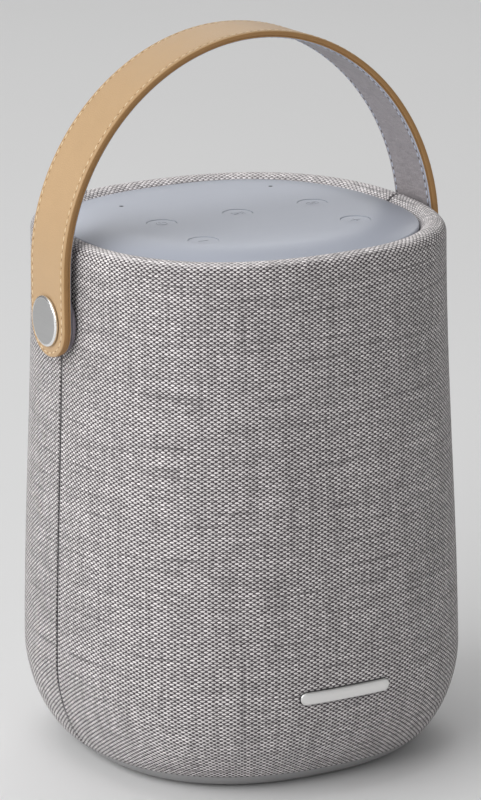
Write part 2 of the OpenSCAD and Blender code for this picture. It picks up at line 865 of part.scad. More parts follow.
fabric_front();
fabric_rear();
grille_front();
grille_rear();
cover_carrier();
top_cover();
key_mat();
top_board();
mic_seals();
flat_cable();
main_board();
shield_can();
heat_sink();
antennas();
cabinet_body();
cabinet_lid();
cabinet_screws();
woofer_basket();
woofer_magnet();
woofer_yoke();
woofer_spider();
woofer_surround();
woofer_gasket();
woofer_cone();
dust_cap();
voice_coil();
tweeter_plate();
tweeter_magnet();
tweeter_dome();
radiator_frame();
radiator_surround();
radiator_plate();
driver_screws();
battery_holder();
battery_cells();
base_cap();
foot_ring();
base_screws();
dock_contacts();
port_panel();
charge_socket();
badge();
bracket_left();
bracket_right();
stud_left();
stud_right();
spacer_left();
spacer_right();
stud_nuts();
strap_leather();
strap_lining();
eyelet_left();
eyelet_right();
power_key();
play_key();
link_key();
minus_key();
plus_key();
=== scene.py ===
"""A portable smart speaker: fabric body, grey control cover, stitched leather strap handle."""
import json
import math

import bmesh
import bpy
import numpy as np
from mathutils import Matrix, Vector
from mathutils.geometry import delaunay_2d_cdt


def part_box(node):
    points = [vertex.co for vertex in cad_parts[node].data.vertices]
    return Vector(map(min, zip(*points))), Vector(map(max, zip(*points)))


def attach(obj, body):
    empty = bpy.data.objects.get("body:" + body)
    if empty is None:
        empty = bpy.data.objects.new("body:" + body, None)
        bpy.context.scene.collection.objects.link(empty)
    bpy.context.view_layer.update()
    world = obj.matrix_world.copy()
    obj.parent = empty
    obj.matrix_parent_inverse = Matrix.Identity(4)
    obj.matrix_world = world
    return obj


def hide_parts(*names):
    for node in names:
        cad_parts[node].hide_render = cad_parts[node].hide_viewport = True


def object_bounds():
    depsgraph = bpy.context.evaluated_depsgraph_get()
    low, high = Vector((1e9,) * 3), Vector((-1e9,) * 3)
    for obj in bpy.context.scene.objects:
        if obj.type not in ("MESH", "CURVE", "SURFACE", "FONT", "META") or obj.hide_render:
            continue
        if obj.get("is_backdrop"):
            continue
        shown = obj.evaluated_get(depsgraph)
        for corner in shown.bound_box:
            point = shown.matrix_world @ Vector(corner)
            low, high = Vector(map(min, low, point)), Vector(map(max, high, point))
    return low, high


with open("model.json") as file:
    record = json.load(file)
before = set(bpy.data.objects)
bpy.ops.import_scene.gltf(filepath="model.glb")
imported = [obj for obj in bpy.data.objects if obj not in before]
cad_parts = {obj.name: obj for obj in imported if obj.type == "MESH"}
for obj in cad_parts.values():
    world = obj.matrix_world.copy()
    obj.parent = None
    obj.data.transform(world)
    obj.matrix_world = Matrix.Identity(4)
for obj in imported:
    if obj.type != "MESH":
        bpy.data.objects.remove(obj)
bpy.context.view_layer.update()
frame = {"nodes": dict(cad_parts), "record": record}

scene = bpy.context.scene
MM = 0.001


# ---- node helpers

def feed(tree, socket, value):
    """Links a value to an input socket, or sets the socket if the value is a plain number or colour."""
    if isinstance(value, Expr):
        value = value.socket
    if isinstance(value, bpy.types.NodeSocket):
        tree.links.new(value, socket)
    else:
        socket.default_value = value


def add_node(tree, kind, inputs, **settings):
    """A new shader node; inputs are {socket name or number: value}."""
    node = tree.nodes.new("ShaderNode" + kind)
    for key, value in settings.items():
        setattr(node, key, value)
    for key, value in inputs.items():
        feed(tree, node.inputs[key], value)
    return node


def maths(kind):
    """A method that passes a value, and any others, through one math node."""
    def method(self, *others):
        inputs = dict(enumerate((self, *others)))
        return Expr(self.tree, add_node(self.tree, "Math", inputs, operation=kind).outputs[0])
    return method


class Expr:
    """A socket of a node tree that can be used in arithmetic."""

    __add__ = maths("ADD")
    __sub__ = maths("SUBTRACT")
    __mul__ = maths("MULTIPLY")
    __truediv__ = maths("DIVIDE")
    floor = maths("FLOOR")
    fract = maths("FRACT")
    abs = maths("ABSOLUTE")
    sine = maths("SINE")
    max = maths("MAXIMUM")
    pow = maths("POWER")
    mod = maths("FLOORED_MODULO")
    below = maths("LESS_THAN")

    def __init__(self, tree, socket):
        self.tree, self.socket = tree, socket

    def step(self, low, high, to_low=0.0, to_high=1.0):
        """Smooth step from low to high."""
        inputs = {"Value": self, "From Min": low, "From Max": high, "To Min": to_low, "To Max": to_high}
        node = add_node(self.tree, "MapRange", inputs, interpolation_type="SMOOTHSTEP")
        return Expr(self.tree, node.outputs["Result"])


class Shader:
    """A procedural material with one Principled shader."""

    def __init__(self, name):
        self.mat = bpy.data.materials.new(name)
        self.mat.use_nodes = True
        self.tree = self.mat.node_tree
        self.bsdf = self.tree.nodes["Principled BSDF"]

    def node(self, kind, output, inputs, **settings):
        """The output socket of a new node."""
        return add_node(self.tree, kind, inputs, **settings).outputs[output]

    def parts(self, vector):
        outputs = add_node(self.tree, "SeparateXYZ", {0: vector}).outputs
        return [Expr(self.tree, socket) for socket in outputs]

    def const(self, **values):
        """Sets the shader's own sockets; an underscore stands for a space in a socket's name."""
        for key, value in values.items():
            self.bsdf.inputs[key.replace("_", " ")].default_value = value

    def uv(self, layer):
        return self.parts(self.node("UVMap", 0, {}, uv_map=layer))[:2]

    def place(self):
        """The point in the object's own frame, in metres: x, y, z and the whole vector."""
        point = self.node("TexCoord", "Object", {})
        return self.parts(point) + [point]

    def join(self, x, y, z):
        return self.node("CombineXYZ", 0, {0: x, 1: y, 2: z})

    def noise(self, vector, scale=1.0, detail=2.0, rough=0.5):
        inputs = {"Vector": vector, "Scale": scale, "Detail": detail, "Roughness": rough}
        return Expr(self.tree, self.node("TexNoise", "Fac", inputs))

    def cells(self, vector, scale, feature="F1"):
        inputs = {"Vector": vector, "Scale": scale}
        return Expr(self.tree, self.node("TexVoronoi", "Distance", inputs, feature=feature))

    def random(self, vector):
        return Expr(self.tree, self.node("TexWhiteNoise", "Value", {"Vector": vector}))

    def mix(self, fac, a, b):
        """Colour from a to b by fac; a and b are colours or sockets."""
        a, b = ((*c, 1.0) if isinstance(c, tuple) else c for c in (a, b))
        return self.node("Mix", 2, {0: fac, 6: a, 7: b}, data_type="RGBA")

    def tint(self, colour, amount):
        """A colour times a value."""
        return self.node("VectorMath", 0, {0: colour, "Scale": amount}, operation="SCALE")

    def colour(self, colour, amount):
        feed(self.tree, self.bsdf.inputs["Base Color"], self.tint(colour, amount))

    def rough(self, value):
        feed(self.tree, self.bsdf.inputs["Roughness"], value)

    def bump(self, height, depth, strength=0.8):
        """A relief in which a height from 0 to 1 stands for depth metres."""
        inputs = {"Strength": strength, "Distance": depth, "Height": height}
        feed(self.tree, self.bsdf.inputs["Normal"], self.node("Bump", 0, inputs))


def srgb(*levels):
    """A linear colour from display levels of 0 to 255."""
    return tuple(((c / 255 + 0.055) / 1.055) ** 2.4 if c > 10 else c / 255 / 12.92 for c in levels)


# ---- materials

PITCH_U, PITCH_V = 2.28 * MM, 0.72 * MM
RIM_START = 172 * MM  # length of cloth from its hem up the side to the rolled rim


def cloth_material():
    """Plain weave: pale melange yarn floats in brick order over a dark ground, with painted shade at the
    side seams and hems and a painted highlight over the rim.
    """
    s = Shader("melange_weave")
    u, v = s.uv("weave")
    du, dv = s.uv("seam")
    slow = s.noise(s.join(u, v, 3), 30)
    slow2 = s.noise(s.join(u, v, 17), 45)
    uu = u / PITCH_U + (slow - 0.5) * 0.7
    vv = v / PITCH_V + (slow2 - 0.5) * 0.9
    row = vv.floor()
    uo = uu + row.mod(2) * 0.5
    rnd, rnd2 = (s.random(s.join(uo.floor(), row, seed)) for seed in (1, 9))
    fu = uo.fract() - 0.5 + (rnd - 0.5) * 0.06
    fv = vv.fract() - 0.5 + (rnd2 - 0.5) * 0.08
    size = rnd2 * 0.10 + 0.95
    r2 = (fu.abs() / 0.36).pow(2.4) + (fv.abs() / 0.53).pow(2)
    bead = (r2 * -1 + size).max(0).pow(0.5)
    # thin twist lines along each float, and the weft that crosses between the floats
    twist = ((fu * 4.2 + fv * 1.5) * math.tau).sine() * 0.5 + 0.5
    weft = (fu.abs() - 0.5).abs().step(0.02, 0.16, 1, 0) * fv.abs().step(0.10, 0.42, 1, 0)
    along = s.noise(s.join(u * 30, v * 1300, 5))
    across = s.noise(s.join(u * 520, v * 24, 8))
    tone = along.step(0.28, 0.72, 0.80, 1.14) * across.step(0.30, 0.70, 0.90, 1.08)
    yarn = rnd.pow(1.4) * 0.26 + 0.76
    # now and then a pick of dark yarn shows for a few floats, or an upright end is a shade darker
    pick = s.noise(s.join(u * 26, row * 7.31, 5), 1, 1).step(0.63, 0.74, 1, 0.66)
    end = s.noise(s.join((uu * 2).floor() * 5.17, v * 16, 8), 1, 1).step(0.60, 0.74, 1, 0.84)
    light = s.tint(srgb(241, 236, 236), tone * yarn * pick * end * (twist * 0.12 + 0.92))
    dark = s.tint(srgb(65, 58, 62), tone * (weft * 1.5 + 0.8))
    # over the rolled rim the floats close up and hide most of the dark ground, and the pale yarn there is
    # painted brighter as a painted highlight for the light from above
    rim_floats_and_highlight = v.step(RIM_START + 2.2 * MM, RIM_START + 4.2 * MM)
    base = s.mix((bead + rim_floats_and_highlight * 0.28).step(0.10, 0.62), dark, s.tint(light, rim_floats_and_highlight * 0.28 + 1))
    # painted shade: the cloth is darkened into the side seam, and a little towards its hems
    shade = du.step(0.3 * MM, 1 * MM, 0.20, 1) * dv.step(0.4 * MM, 2.2 * MM, 0.62, 1)
    s.colour(base, shade)
    s.bump(bead * 0.82 + twist * 0.08 + weft * 0.10, 0.00034, 1)
    s.const(Roughness=0.90, Specular_IOR_Level=0.22, Sheen_Weight=0.16, Sheen_Roughness=0.45)
    return s.mat


def leather_material():
    """Smooth tan leather with pores, faint creases and slightly darker handled edges."""
    s = Shader("tan_leather")
    *_, p = s.place()
    u, v = s.uv("cut")
    pores = s.cells(p, 2300)
    grain = s.cells(p, 1250, "DISTANCE_TO_EDGE")
    fine = s.noise(p, 900, 4, 0.6)
    broad = s.noise(p, 34, 3)
    cloud = s.noise(p, 120, 3)
    crease = s.noise(s.join(u * 520, v * 60, 2), 1, 3)
    edge = v.abs().step(7.8 * MM, 11.0 * MM)
    tone = broad * 0.10 + cloud * 0.07 + fine * 0.05 + 0.89
    base = s.mix(edge * 0.55, s.tint(srgb(188, 156, 117), tone), s.tint(srgb(178, 142, 97), tone))
    s.colour(base, pores.step(0.05, 0.32, 0.90, 1))
    s.bump(grain.step(0, 0.25) * 0.45 + fine * 0.3 + crease * 0.35, 0.00006)
    s.rough(fine * 0.12 + cloud * 0.08 + 0.40)
    s.const(Specular_IOR_Level=0.42, Sheen_Weight=0.05, Coat_Weight=0.06, Coat_Roughness=0.35)
    return s.mat


def edge_paint_material():
    """Burnished cut edge of the leather: layered fibres under a brown dressing."""
    s = Shader("burnished_edge")
    x, y, z, p = s.place()
    layers = s.noise(s.join(x * 260, y * 60, z * 260), 1, 4, 0.6)
    fibre = s.noise(p, 2100, 3)
    tone = layers * 0.22 + fibre * 0.16 + 0.80
    s.colour(srgb(166, 126, 80), tone)
    s.bump(fibre * 0.6 + layers * 0.4, 0.00008)
    s.const(Roughness=0.52, Specular_IOR_Level=0.35)
    return s.mat


def lining_material():
    """Grey suede-like lining with a soft nap, fine wrinkles across it and a paler turned edge."""
    s = Shader("grey_lining")
    v = s.uv("cut")[1]
    x, y, z, p = s.place()
    nap = s.noise(p, 1900, 4, 0.65)
    brushed = s.noise(s.join(x * 240, y * 900, z * 240), 1, 3)
    broad = s.noise(p, 60, 3)
    tone = nap * 0.22 + brushed * 0.14 + broad * 0.12 + 0.76
    wrinkle = s.noise(s.join(x * 200, y * 240, z * 620), 1, 2, 0.6)
    edge = v.abs().step(10.25 * MM, 10.50 * MM)
    colour = s.mix(edge, s.tint(srgb(160, 154, 157), tone), s.tint(srgb(182, 188, 202), tone))
    s.colour(colour, wrinkle.step(0.25, 0.75, 0.93, 1.06))
    s.bump(nap * 0.25 + brushed * 0.15 + wrinkle * 1.1, 0.0008, 1)
    s.const(Roughness=0.86, Specular_IOR_Level=0.2, Sheen_Weight=0.25, Sheen_Roughness=0.5)
    return s.mat


def thread_material(name, rgb):
    """Waxed sewing thread: two plies and a little fuzz."""
    s = Shader(name)
    x, y, z, p = s.place()
    ply = s.noise(s.join(x * 2600, y * 2600, z * 900))
    fuzz = s.noise(p, 4200)
    s.colour(srgb(*rgb), ply * 0.30 + fuzz * 0.20 + 0.76)
    s.bump(ply * 0.6 + fuzz * 0.4, 0.00008, 0.9)
    s.const(Roughness=0.75, Specular_IOR_Level=0.25, Sheen_Weight=0.15)
    return s.mat


def satin_plastic(name, rgb, rough=0.42, grain=2600, depth=0.00001, speck=0.04, coat=0, level=0.42):
    """Moulded plastic with a fine spark-eroded grain, slight haze and faint handling marks."""
    s = Shader(name)
    x, y, z, p = s.place()
    fine = s.noise(p, grain, 3, 0.6)
    haze = s.noise(p, 45, 3)
    rub = s.noise(s.join(x * 90, y * 330, z * 90), 1, 4, 0.6)
    s.colour(srgb(*rgb), (fine + haze) * speck + (1 - speck))
    s.bump(fine, depth)
    s.rough(fine * 0.06 + haze * 0.07 + rub * 0.05 + (rough - 0.09))
    s.const(Specular_IOR_Level=level, Coat_Weight=coat, Coat_Roughness=0.3)
    return s.mat


def brushed_metal(name, rgb, rough=0.34, axis=1, lines=5200, depth=0.000008, grain=0.10):
    """Metal brushed along one axis, with uneven strokes and a few hairlines."""
    s = Shader(name)
    *xyz, p = s.place()
    fine = s.noise(s.join(*(c * (70 if i == axis else lines) for i, c in enumerate(xyz))), 1, 3, 0.7)
    wide = s.noise(s.join(*(c * (25 if i == axis else 900) for i, c in enumerate(xyz))))
    haze = s.noise(p, 160)
    s.colour(rgb, (fine + wide) * grain + (1 - grain))
    s.bump(fine * 0.7 + wide * 0.3, depth)
    s.rough(fine * 0.10 + haze * 0.08 + (rough - 0.09))
    s.const(Metallic=1)
    return s.mat


def cast_material(name, rgb, metallic=0, rough=0.6, scale=900, depth=0.00005):
    """A pitted, mottled surface such as ferrite, powder coat or rubber."""
    s = Shader(name)
    *_, p = s.place()
    pit = s.cells(p, scale)
    mottle = s.noise(p, scale * 0.3, 3)
    s.colour(srgb(*rgb), mottle * 0.25 + pit * 0.15 + 0.78)
    s.bump(pit * 0.6 + mottle * 0.4, depth, 0.7)
    s.rough(mottle * 0.16 + (rough - 0.08))
    s.const(Metallic=metallic, Specular_IOR_Level=0.4)
    return s.mat


def woven_material(name, rgb, pitch):
    """A small open weave for the spider, cone and dome, drawn in the driver's own plane."""
    s = Shader(name)
    x, _, z, p = s.place()
    warp, weft = ((c * (math.tau / pitch)).sine() * 0.5 + 0.5 for c in (x, z))
    yarn = warp.max(weft)
    fibre = s.noise(p, 1500, 3)
    s.colour(srgb(*rgb), yarn * 0.35 + fibre * 0.25 + 0.5)
    s.bump(yarn * 0.6 + fibre * 0.4, 0.00008)
    s.const(Roughness=0.85, Specular_IOR_Level=0.2)
    return s.mat


def board_material():
    """Solder mask with traces and pads showing through."""
    s = Shader("solder_mask")
    x, y, z, p = s.place()
    gx = (x / (2.54 * MM)).fract() - 0.5
    gy = (y / (2.54 * MM)).fract() - 0.5
    pad = (gx.pow(2) + gy.pow(2)).pow(0.5)
    blocks = s.random(s.join((x / (5.08 * MM)).floor(), (y / (5.08 * MM)).floor(), 2))
    trace = ((x + y) / (1.27 * MM)).fract().step(0.35, 0.5, 0, 1) * blocks.below(0.45)
    mask = s.tint((0.02, 0.16, 0.085), trace * 0.5 + s.noise(p, 200, 3) * 0.2 + 0.8)
    tin = pad.step(0.16, 0.20, 1, 0) * blocks.below(0.35)
    s.colour(s.mix(tin, mask, (0.62, 0.60, 0.55)), 1)
    s.bump(trace + tin, 0.00004)
    s.const(Roughness=0.35, Specular_IOR_Level=0.5, Coat_Weight=0.3, Coat_Roughness=0.2)
    return s.mat


CLOTH = cloth_material()
LEATHER = leather_material()
EDGE = edge_paint_material()
LINING = lining_material()
CREAM = thread_material("cream_thread", (226, 206, 172))
BLUE_GREY = thread_material("blue_grey_thread", (196, 204, 220))
SEAM_THREAD = thread_material("dark_seam_thread", (58, 54, 58))
# needle holes: dark beads whose colour is painted shade for the inside of each hole
HOLE_SHADE = cast_material("needle_hole_shade", (96, 66, 38), 0, 0.8, 3000)
HOLE_GREY = cast_material("lining_needle_hole", (62, 62, 70), 0, 0.8, 3000)
COVER = satin_plastic("cool_grey_cover", (174, 179, 191), 0.36, level=0.27)
KEY = satin_plastic("cool_grey_keys", (173, 178, 190), 0.35, level=0.27)
ICON = satin_plastic("icon_mark", (158, 161, 171), 0.45)
BASE = satin_plastic("grey_base", (152, 151, 152), 0.5, 1800, 0.00002, 0.06)
FOOT = cast_material("grey_foot_rubber", (120, 119, 120), 0, 0.75, 1600)
PORT = satin_plastic("black_port", (40, 40, 43), 0.45, 2200, 0.00002, 0.10)
MESH_BLACK = woven_material("acoustic_mesh", (15, 15, 17), 0.12 * MM)
SPACER = satin_plastic("dark_grey_spacer", (108, 102, 110), 0.42, 2400, 0.00001, 0.08)
CAP_FACE = brushed_metal("satin_cap_face", (0.50, 0.50, 0.50), 0.36, 1, 6000)
CAP_RING = brushed_metal("polished_cap_ring", (0.86, 0.86, 0.85), 0.25, 1, 3000, 0.0000004, 0.03)
BADGE = brushed_metal("brushed_badge", (0.84, 0.83, 0.82), 0.33, 0, 5200)
# a darker copy of the badge metal, as painted shade on the badge's back and side
BADGE_RIM_SHADE = brushed_metal("badge_rim_painted_shade", (0.34, 0.34, 0.35), 0.30, 0, 3000)

BY_SLOT = {
    "fabric": CLOTH,
    "grille": satin_plastic("black_grille", (48, 48, 50), 0.55, 1500, 0.00003, 0.12),
    "cover": COVER,
    "key": KEY,
    "silicone": cast_material("matt_silicone", (62, 62, 66), 0, 0.7, 1500, 0.00002),
    "circuit_board": board_material(),
    "flat_cable": satin_plastic("white_film", (222, 222, 216), 0.4, 1200, 0.00001, 0.06),
    "tin_plate": brushed_metal("tin_plate", (0.72, 0.72, 0.73), 0.30, 0, 2500),
    "heat_sink": cast_material("black_anodised", (58, 58, 62), 0.7, 0.45, 2500, 0.00001),
    "cabinet": satin_plastic("black_cabinet", (52, 52, 55), 0.5, 1300, 0.00003, 0.12),
    "screw": cast_material("black_zinc", (84, 84, 88), 0.8, 0.4, 2500, 0.00001),
    "basket": cast_material("powder_coat", (50, 50, 53), 0, 0.55, 1700, 0.00005),
    "ferrite": cast_material("ferrite", (66, 66, 69), 0.2, 0.6, 700, 0.00008),
    "yoke_steel": brushed_metal("zinc_steel", (0.58, 0.59, 0.61), 0.38, 2, 1600),
    "spider_cloth": woven_material("spider_weave", (202, 176, 112), 1.1 * MM),
    "surround_rubber": cast_material("surround_rubber", (40, 40, 43), 0, 0.5, 2200, 0.00001),
    "paper_cone": woven_material("cone_pulp", (58, 58, 62), 0.7 * MM),
    "copper_coil": brushed_metal("copper_wire", (0.80, 0.42, 0.22), 0.30, 0, 2600, 0.00004),
    "dome_cloth": woven_material("dome_silk", (150, 152, 158), 0.5 * MM),
    "radiator_metal": cast_material("radiator_anodised", (70, 70, 74), 0.7, 0.4, 2600, 0.00001),
    "battery_wrap": satin_plastic("blue_shrink_wrap", (58, 118, 168), 0.3, 700, 0.00002, 0.10, 0.3),
    "battery_plastic": satin_plastic("battery_tray", (66, 66, 70), 0.5, 1300, 0.00003, 0.12),
    "base": BASE,
    "foot_rubber": FOOT,
    "contact_gold": brushed_metal("gold_plate", (0.86, 0.64, 0.30), 0.25, 0, 2500),
    "port": PORT,
    "badge_metal": BADGE,
    "bracket": satin_plastic("bracket_plastic", (64, 64, 67), 0.5, 1300, 0.00003, 0.12),
    "stud_steel": CAP_FACE,
    "spacer": SPACER,
    "leather": LEATHER,
    "lining": LINING,
}
for part in frame["record"]["subparts"]:
    node = frame["nodes"][part["node"]]
    if not node.material_slots:
        node.data.materials.append(None)
    for ms in node.material_slots:
        ms.link = "OBJECT"
        ms.material = BY_SLOT[part["material_slot"]]


# ---- mesh helpers

def new_mesh(name, verts, faces):
    me = bpy.data.meshes.new(name)
    me.from_pydata([tuple(v) for v in verts], [], faces)
    return me


def new_object(name, data):
    ob = bpy.data.objects.new(name, data)
    scene.collection.objects.link(ob)
    return ob


def make(name, verts, faces, mats, body, replaced=(), uvs=None, mat_of=None):
    """Builds a mesh object. uvs is {layer: one (u, v) per vertex}; mat_of is one index per face."""
    me = new_mesh(name, verts, faces)
    me.validate()
    for m in mats:
        me.materials.append(m)
    if mat_of is not None:
        me.polygons.foreach_set("material_index", mat_of)
    for layer, per_vertex in (uvs or {}).items():
        loops = np.empty(len(me.loops), dtype=np.int32)
        me.loops.foreach_get("vertex_index", loops)
        per_loop = np.asarray(per_vertex, dtype=np.float32)[loops]
        me.uv_layers.new(name=layer).data.foreach_set("uv", per_loop.ravel())
    me.shade_smooth()
    ob = new_object(name, me)
    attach(ob, body)
    if replaced:
        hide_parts(*replaced)
    return ob


def face_outward(me, weld=False):
    """Turns all faces outward, and joins points at the same place if weld is true."""
    bm = bmesh.new()
    bm.from_mesh(me)
    if weld:
        bmesh.ops.remove_doubles(bm, verts=bm.verts, dist=1e-7)
    bmesh.ops.recalc_face_normals(bm, faces=bm.faces)
    bm.to_mesh(me)
    bm.free()


def solid(name, verts, faces, mats, body, replaced=(), mat_of=None, sharp=None):
    """A welded mesh object, with its edges above the angle sharp, in degrees, kept crisp."""
    me = make(name, verts, faces, mats, body, replaced, None, mat_of).data
    face_outward(me, True)
    if sharp:
        me.set_sharp_from_angle(angle=math.radians(sharp))


def grid_faces(rows, cols, wrap_rows=False, wrap_cols=False):
    faces = []
    for i in range(rows if wrap_rows else rows - 1):
        a, b = i * cols, (i + 1) % rows * cols
        for j in range(cols if wrap_cols else cols - 1):
            k = (j + 1) % cols
            faces.append((a + j, a + k, b + k, b + j))
    return faces


def lathe(profile, origin, axis, steps):
    """Points and faces of (radius, height) points turned about an axis; closed if both ends are on it."""
    axis = Vector(axis).normalized()
    side = axis.orthogonal().normalized()
    up = axis.cross(side)
    turns = [math.tau * k / steps for k in range(steps)]
    verts, faces, rings = [], [], []
    for r, h in profile:
        c, first = Vector(origin) + axis * h, len(verts)
        if r < 1e-9:
            rings.append([first] * (steps + 1))
            verts.append(c)
        else:
            rings.append([*range(first, first + steps), first])
            verts += [c + (side * math.cos(t) + up * math.sin(t)) * r for t in turns]
    for a, b in zip(rings, rings[1:]):
        for k in range(steps):
            # a point on the axis stands twice in its quad, which leaves a triangle
            face = tuple(dict.fromkeys((a[k], b[k], b[k + 1], a[k + 1])))
            if len(face) > 2:
                faces.append(face)
    return verts, faces


def rounded(points, radius, steps=3):
    """A (radius, height) outline with the corners between its ends rounded."""
    out = [points[0]]
    for corner in zip(points, points[1:], points[2:]):
        a, b, c = (Vector(p) for p in corner)
        r = min(radius, (a - b).length * 0.45, (c - b).length * 0.45)
        p, q = (b + (end - b).normalized() * r for end in (a, c))
        for k in range(steps + 1):
            t = k / steps
            out.append(tuple((1 - t) ** 2 * p + 2 * t * (1 - t) * b + t * t * q))
    out.append(points[-1])
    return out


def offsets(x, y, *steps):
    """Points at steps, in millimetres, from the point (x, y)."""
    return [(x + a * MM, y + b * MM) for a, b in steps]


def turned(name, outline, centre, axis, steps, mat, body, replaced=(), sharp=40):
    """A solid of revolution."""
    verts, faces = lathe(outline, centre, axis, steps)
    solid(name, verts, faces, [mat], body, replaced, None, sharp)


def beads(name, places, size, mat, body, rings=5, steps=8):
    """Small ellipsoids in one mesh. places are (centre, along, out).

    size is the half length, half width and half height in millimetres.
    """
    length, width, height = (v * MM for v in size)
    verts, faces = [], []
    for centre, along, out in places:
        along, out = along.normalized(), out.normalized()
        side = out.cross(along).normalized()
        first = len(verts)
        verts.append(centre - along * length)
        for i in range(1, rings):
            t = math.pi * i / rings
            middle, r = centre - along * (math.cos(t) * length), math.sin(t) ** 0.6
            for k in range(steps):
                a = math.tau * k / steps
                verts.append(middle + side * (r * width * math.cos(a)) + out * (r * height * math.sin(a)))
        last = len(verts)
        verts.append(centre + along * length)
        for k in range(steps):
            after = (k + 1) % steps
            faces.append((first, first + 1 + after, first + 1 + k))
            faces.append((last, last - steps + k, last - steps + after))
        faces += [tuple(first + 1 + i for i in f) for f in grid_faces(rings - 1, steps, wrap_cols=True)]
    return make(name, verts, faces, [mat], body)


# ---- body shape

FRONT_LOW, FRONT_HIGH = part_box("fabric_front")
HALF_W = (FRONT_HIGH.x - FRONT_LOW.x) / 2
HEM_Z, TOP_Z = FRONT_LOW.z, FRONT_HIGH.z
RIM_R = 4.1 * MM
RIM_Z = TOP_Z - RIM_R
TUCK_Z = 171.5 * MM
SKIN_T = 1.2 * MM
SQUARE = 2.39  # exponent of the squared-off plan
ROUND_H = 35 * MM
FOOT_ROUND = 1.85
WIDE_Z = 20 * MM
TOP_HALF = HALF_W - 4.4 * MM
BASE_HALF = 49 * MM


def side_half(z):
    fall = (1 + math.cos(math.pi * max(z - WIDE_Z, 0) / (TOP_Z - WIDE_Z))) / 2
    return TOP_HALF + (HALF_W - TOP_HALF) * fall


def skin_half(z):
    """Half width of the cloth at a height: a rounded foot under the slightly tapered side."""
    if z >= ROUND_H:
        return side_half(z)
    bulge = (1 - (1 - z / ROUND_H) ** FOOT_ROUND) ** (1 / FOOT_ROUND)
    return BASE_HALF + (side_half(ROUND_H) - BASE_HALF) * bulge


RIM_HALF = side_half(RIM_Z) - RIM_R


def plan_radius(x, y):
    """Half width of the plan that passes through a point."""
    return (abs(x) ** SQUARE + abs(y) ** SQUARE) ** (1 / SQUARE)


def plan_normal(x, y):
    nx = math.copysign(abs(x) ** (SQUARE - 1), x)
    ny = math.copysign(abs(y) ** (SQUARE - 1), y)
    n = math.hypot(nx, ny)
    return nx / n, ny / n


def plan_table(count=4000):
    """Dense points of half the plan from +X over +Y to -X, with arc length for a half width of one."""
    t = np.linspace(0.0, math.pi, count + 1)
    pts = np.stack([np.sign(f) * abs(f) ** (2 / SQUARE) for f in (np.cos(t), np.sin(t))], axis=1)
    pts[0], pts[-1] = (1.0, 0.0), (-1.0, 0.0)
    return pts, np.concatenate([[0.0], np.cumsum(np.hypot(*np.diff(pts, axis=0).T))])


PLAN_PTS, PLAN_LEN = plan_table()
HALF_LEN = PLAN_LEN[-1]


def plan_at(length, front):
    """Point of the plan at an arc length from +X, through +Y or through -Y."""
    x, y = (float(np.interp(length, PLAN_LEN, PLAN_PTS[:, i])) for i in (0, 1))
    return x, -y if front else y


def plan_ring(half, z, count=256):
    """Points round the whole plan at one height."""
    ring = []
    for k in range(count):
        d = 2 * HALF_LEN * k / count
        x, y = plan_at(d, False) if d <= HALF_LEN else plan_at(2 * HALF_LEN - d, True)
        ring.append(Vector((half * x, half * y, z)))
    return ring


def profile_rows():
    """(half width, height, outward in plan, outward up, length) from the hem over the rim to the tuck."""
    foot, side, roll, tuck = 34, 84, 24, 3
    zs = [HEM_Z + (ROUND_H - HEM_Z) * (i / foot) ** 1.6 for i in range(foot)]
    zs += [ROUND_H + (RIM_Z - ROUND_H) * i / side for i in range(side + 1)]
    pts = [(skin_half(z), z) for z in zs]
    for i in range(1, roll + 1):
        a = math.pi * i / roll
        pts.append((RIM_HALF + RIM_R * math.cos(a), RIM_Z + RIM_R * math.sin(a)))
    for i in range(1, tuck + 1):
        pts.append((RIM_HALF - RIM_R, RIM_Z + (TUCK_Z - RIM_Z) * i / tuck))
    rows, length = [], 0.0
    for before, p, after in zip(pts[:1] + pts, pts, pts[1:] + pts[-1:]):
        tx, tz = after[0] - before[0], after[1] - before[1]
        n = math.hypot(tx, tz)
        length += math.dist(p, before)
        rows.append((*p, tz / n, -tx / n, length))
    return rows


ROWS = profile_rows()
SEAM_STEPS = [0.0, 0.25, 0.5, 0.75, 1.0, 1.3, 1.7, 2.2, 2.8, 3.5]


def columns():
    """Arc lengths along the half plan for the widest section, close together near both seams."""
    total = HALF_LEN * HALF_W
    near = [s * MM for s in SEAM_STEPS]
    count = 168
    mid = [near[-1] + (total - 2 * near[-1]) * i / count for i in range(1, count)]
    return near + mid + [total - s for s in reversed(near)], total


def seam_shape(s):
    """Height of the cloth beside a side seam: it dives in at the seam and stands up a little beside it."""
    return (0.16 * math.exp(-((s - 1.25 * MM) / (0.55 * MM)) ** 2)
            - 0.75 * math.exp(-(s / (0.42 * MM)) ** 2)) * MM


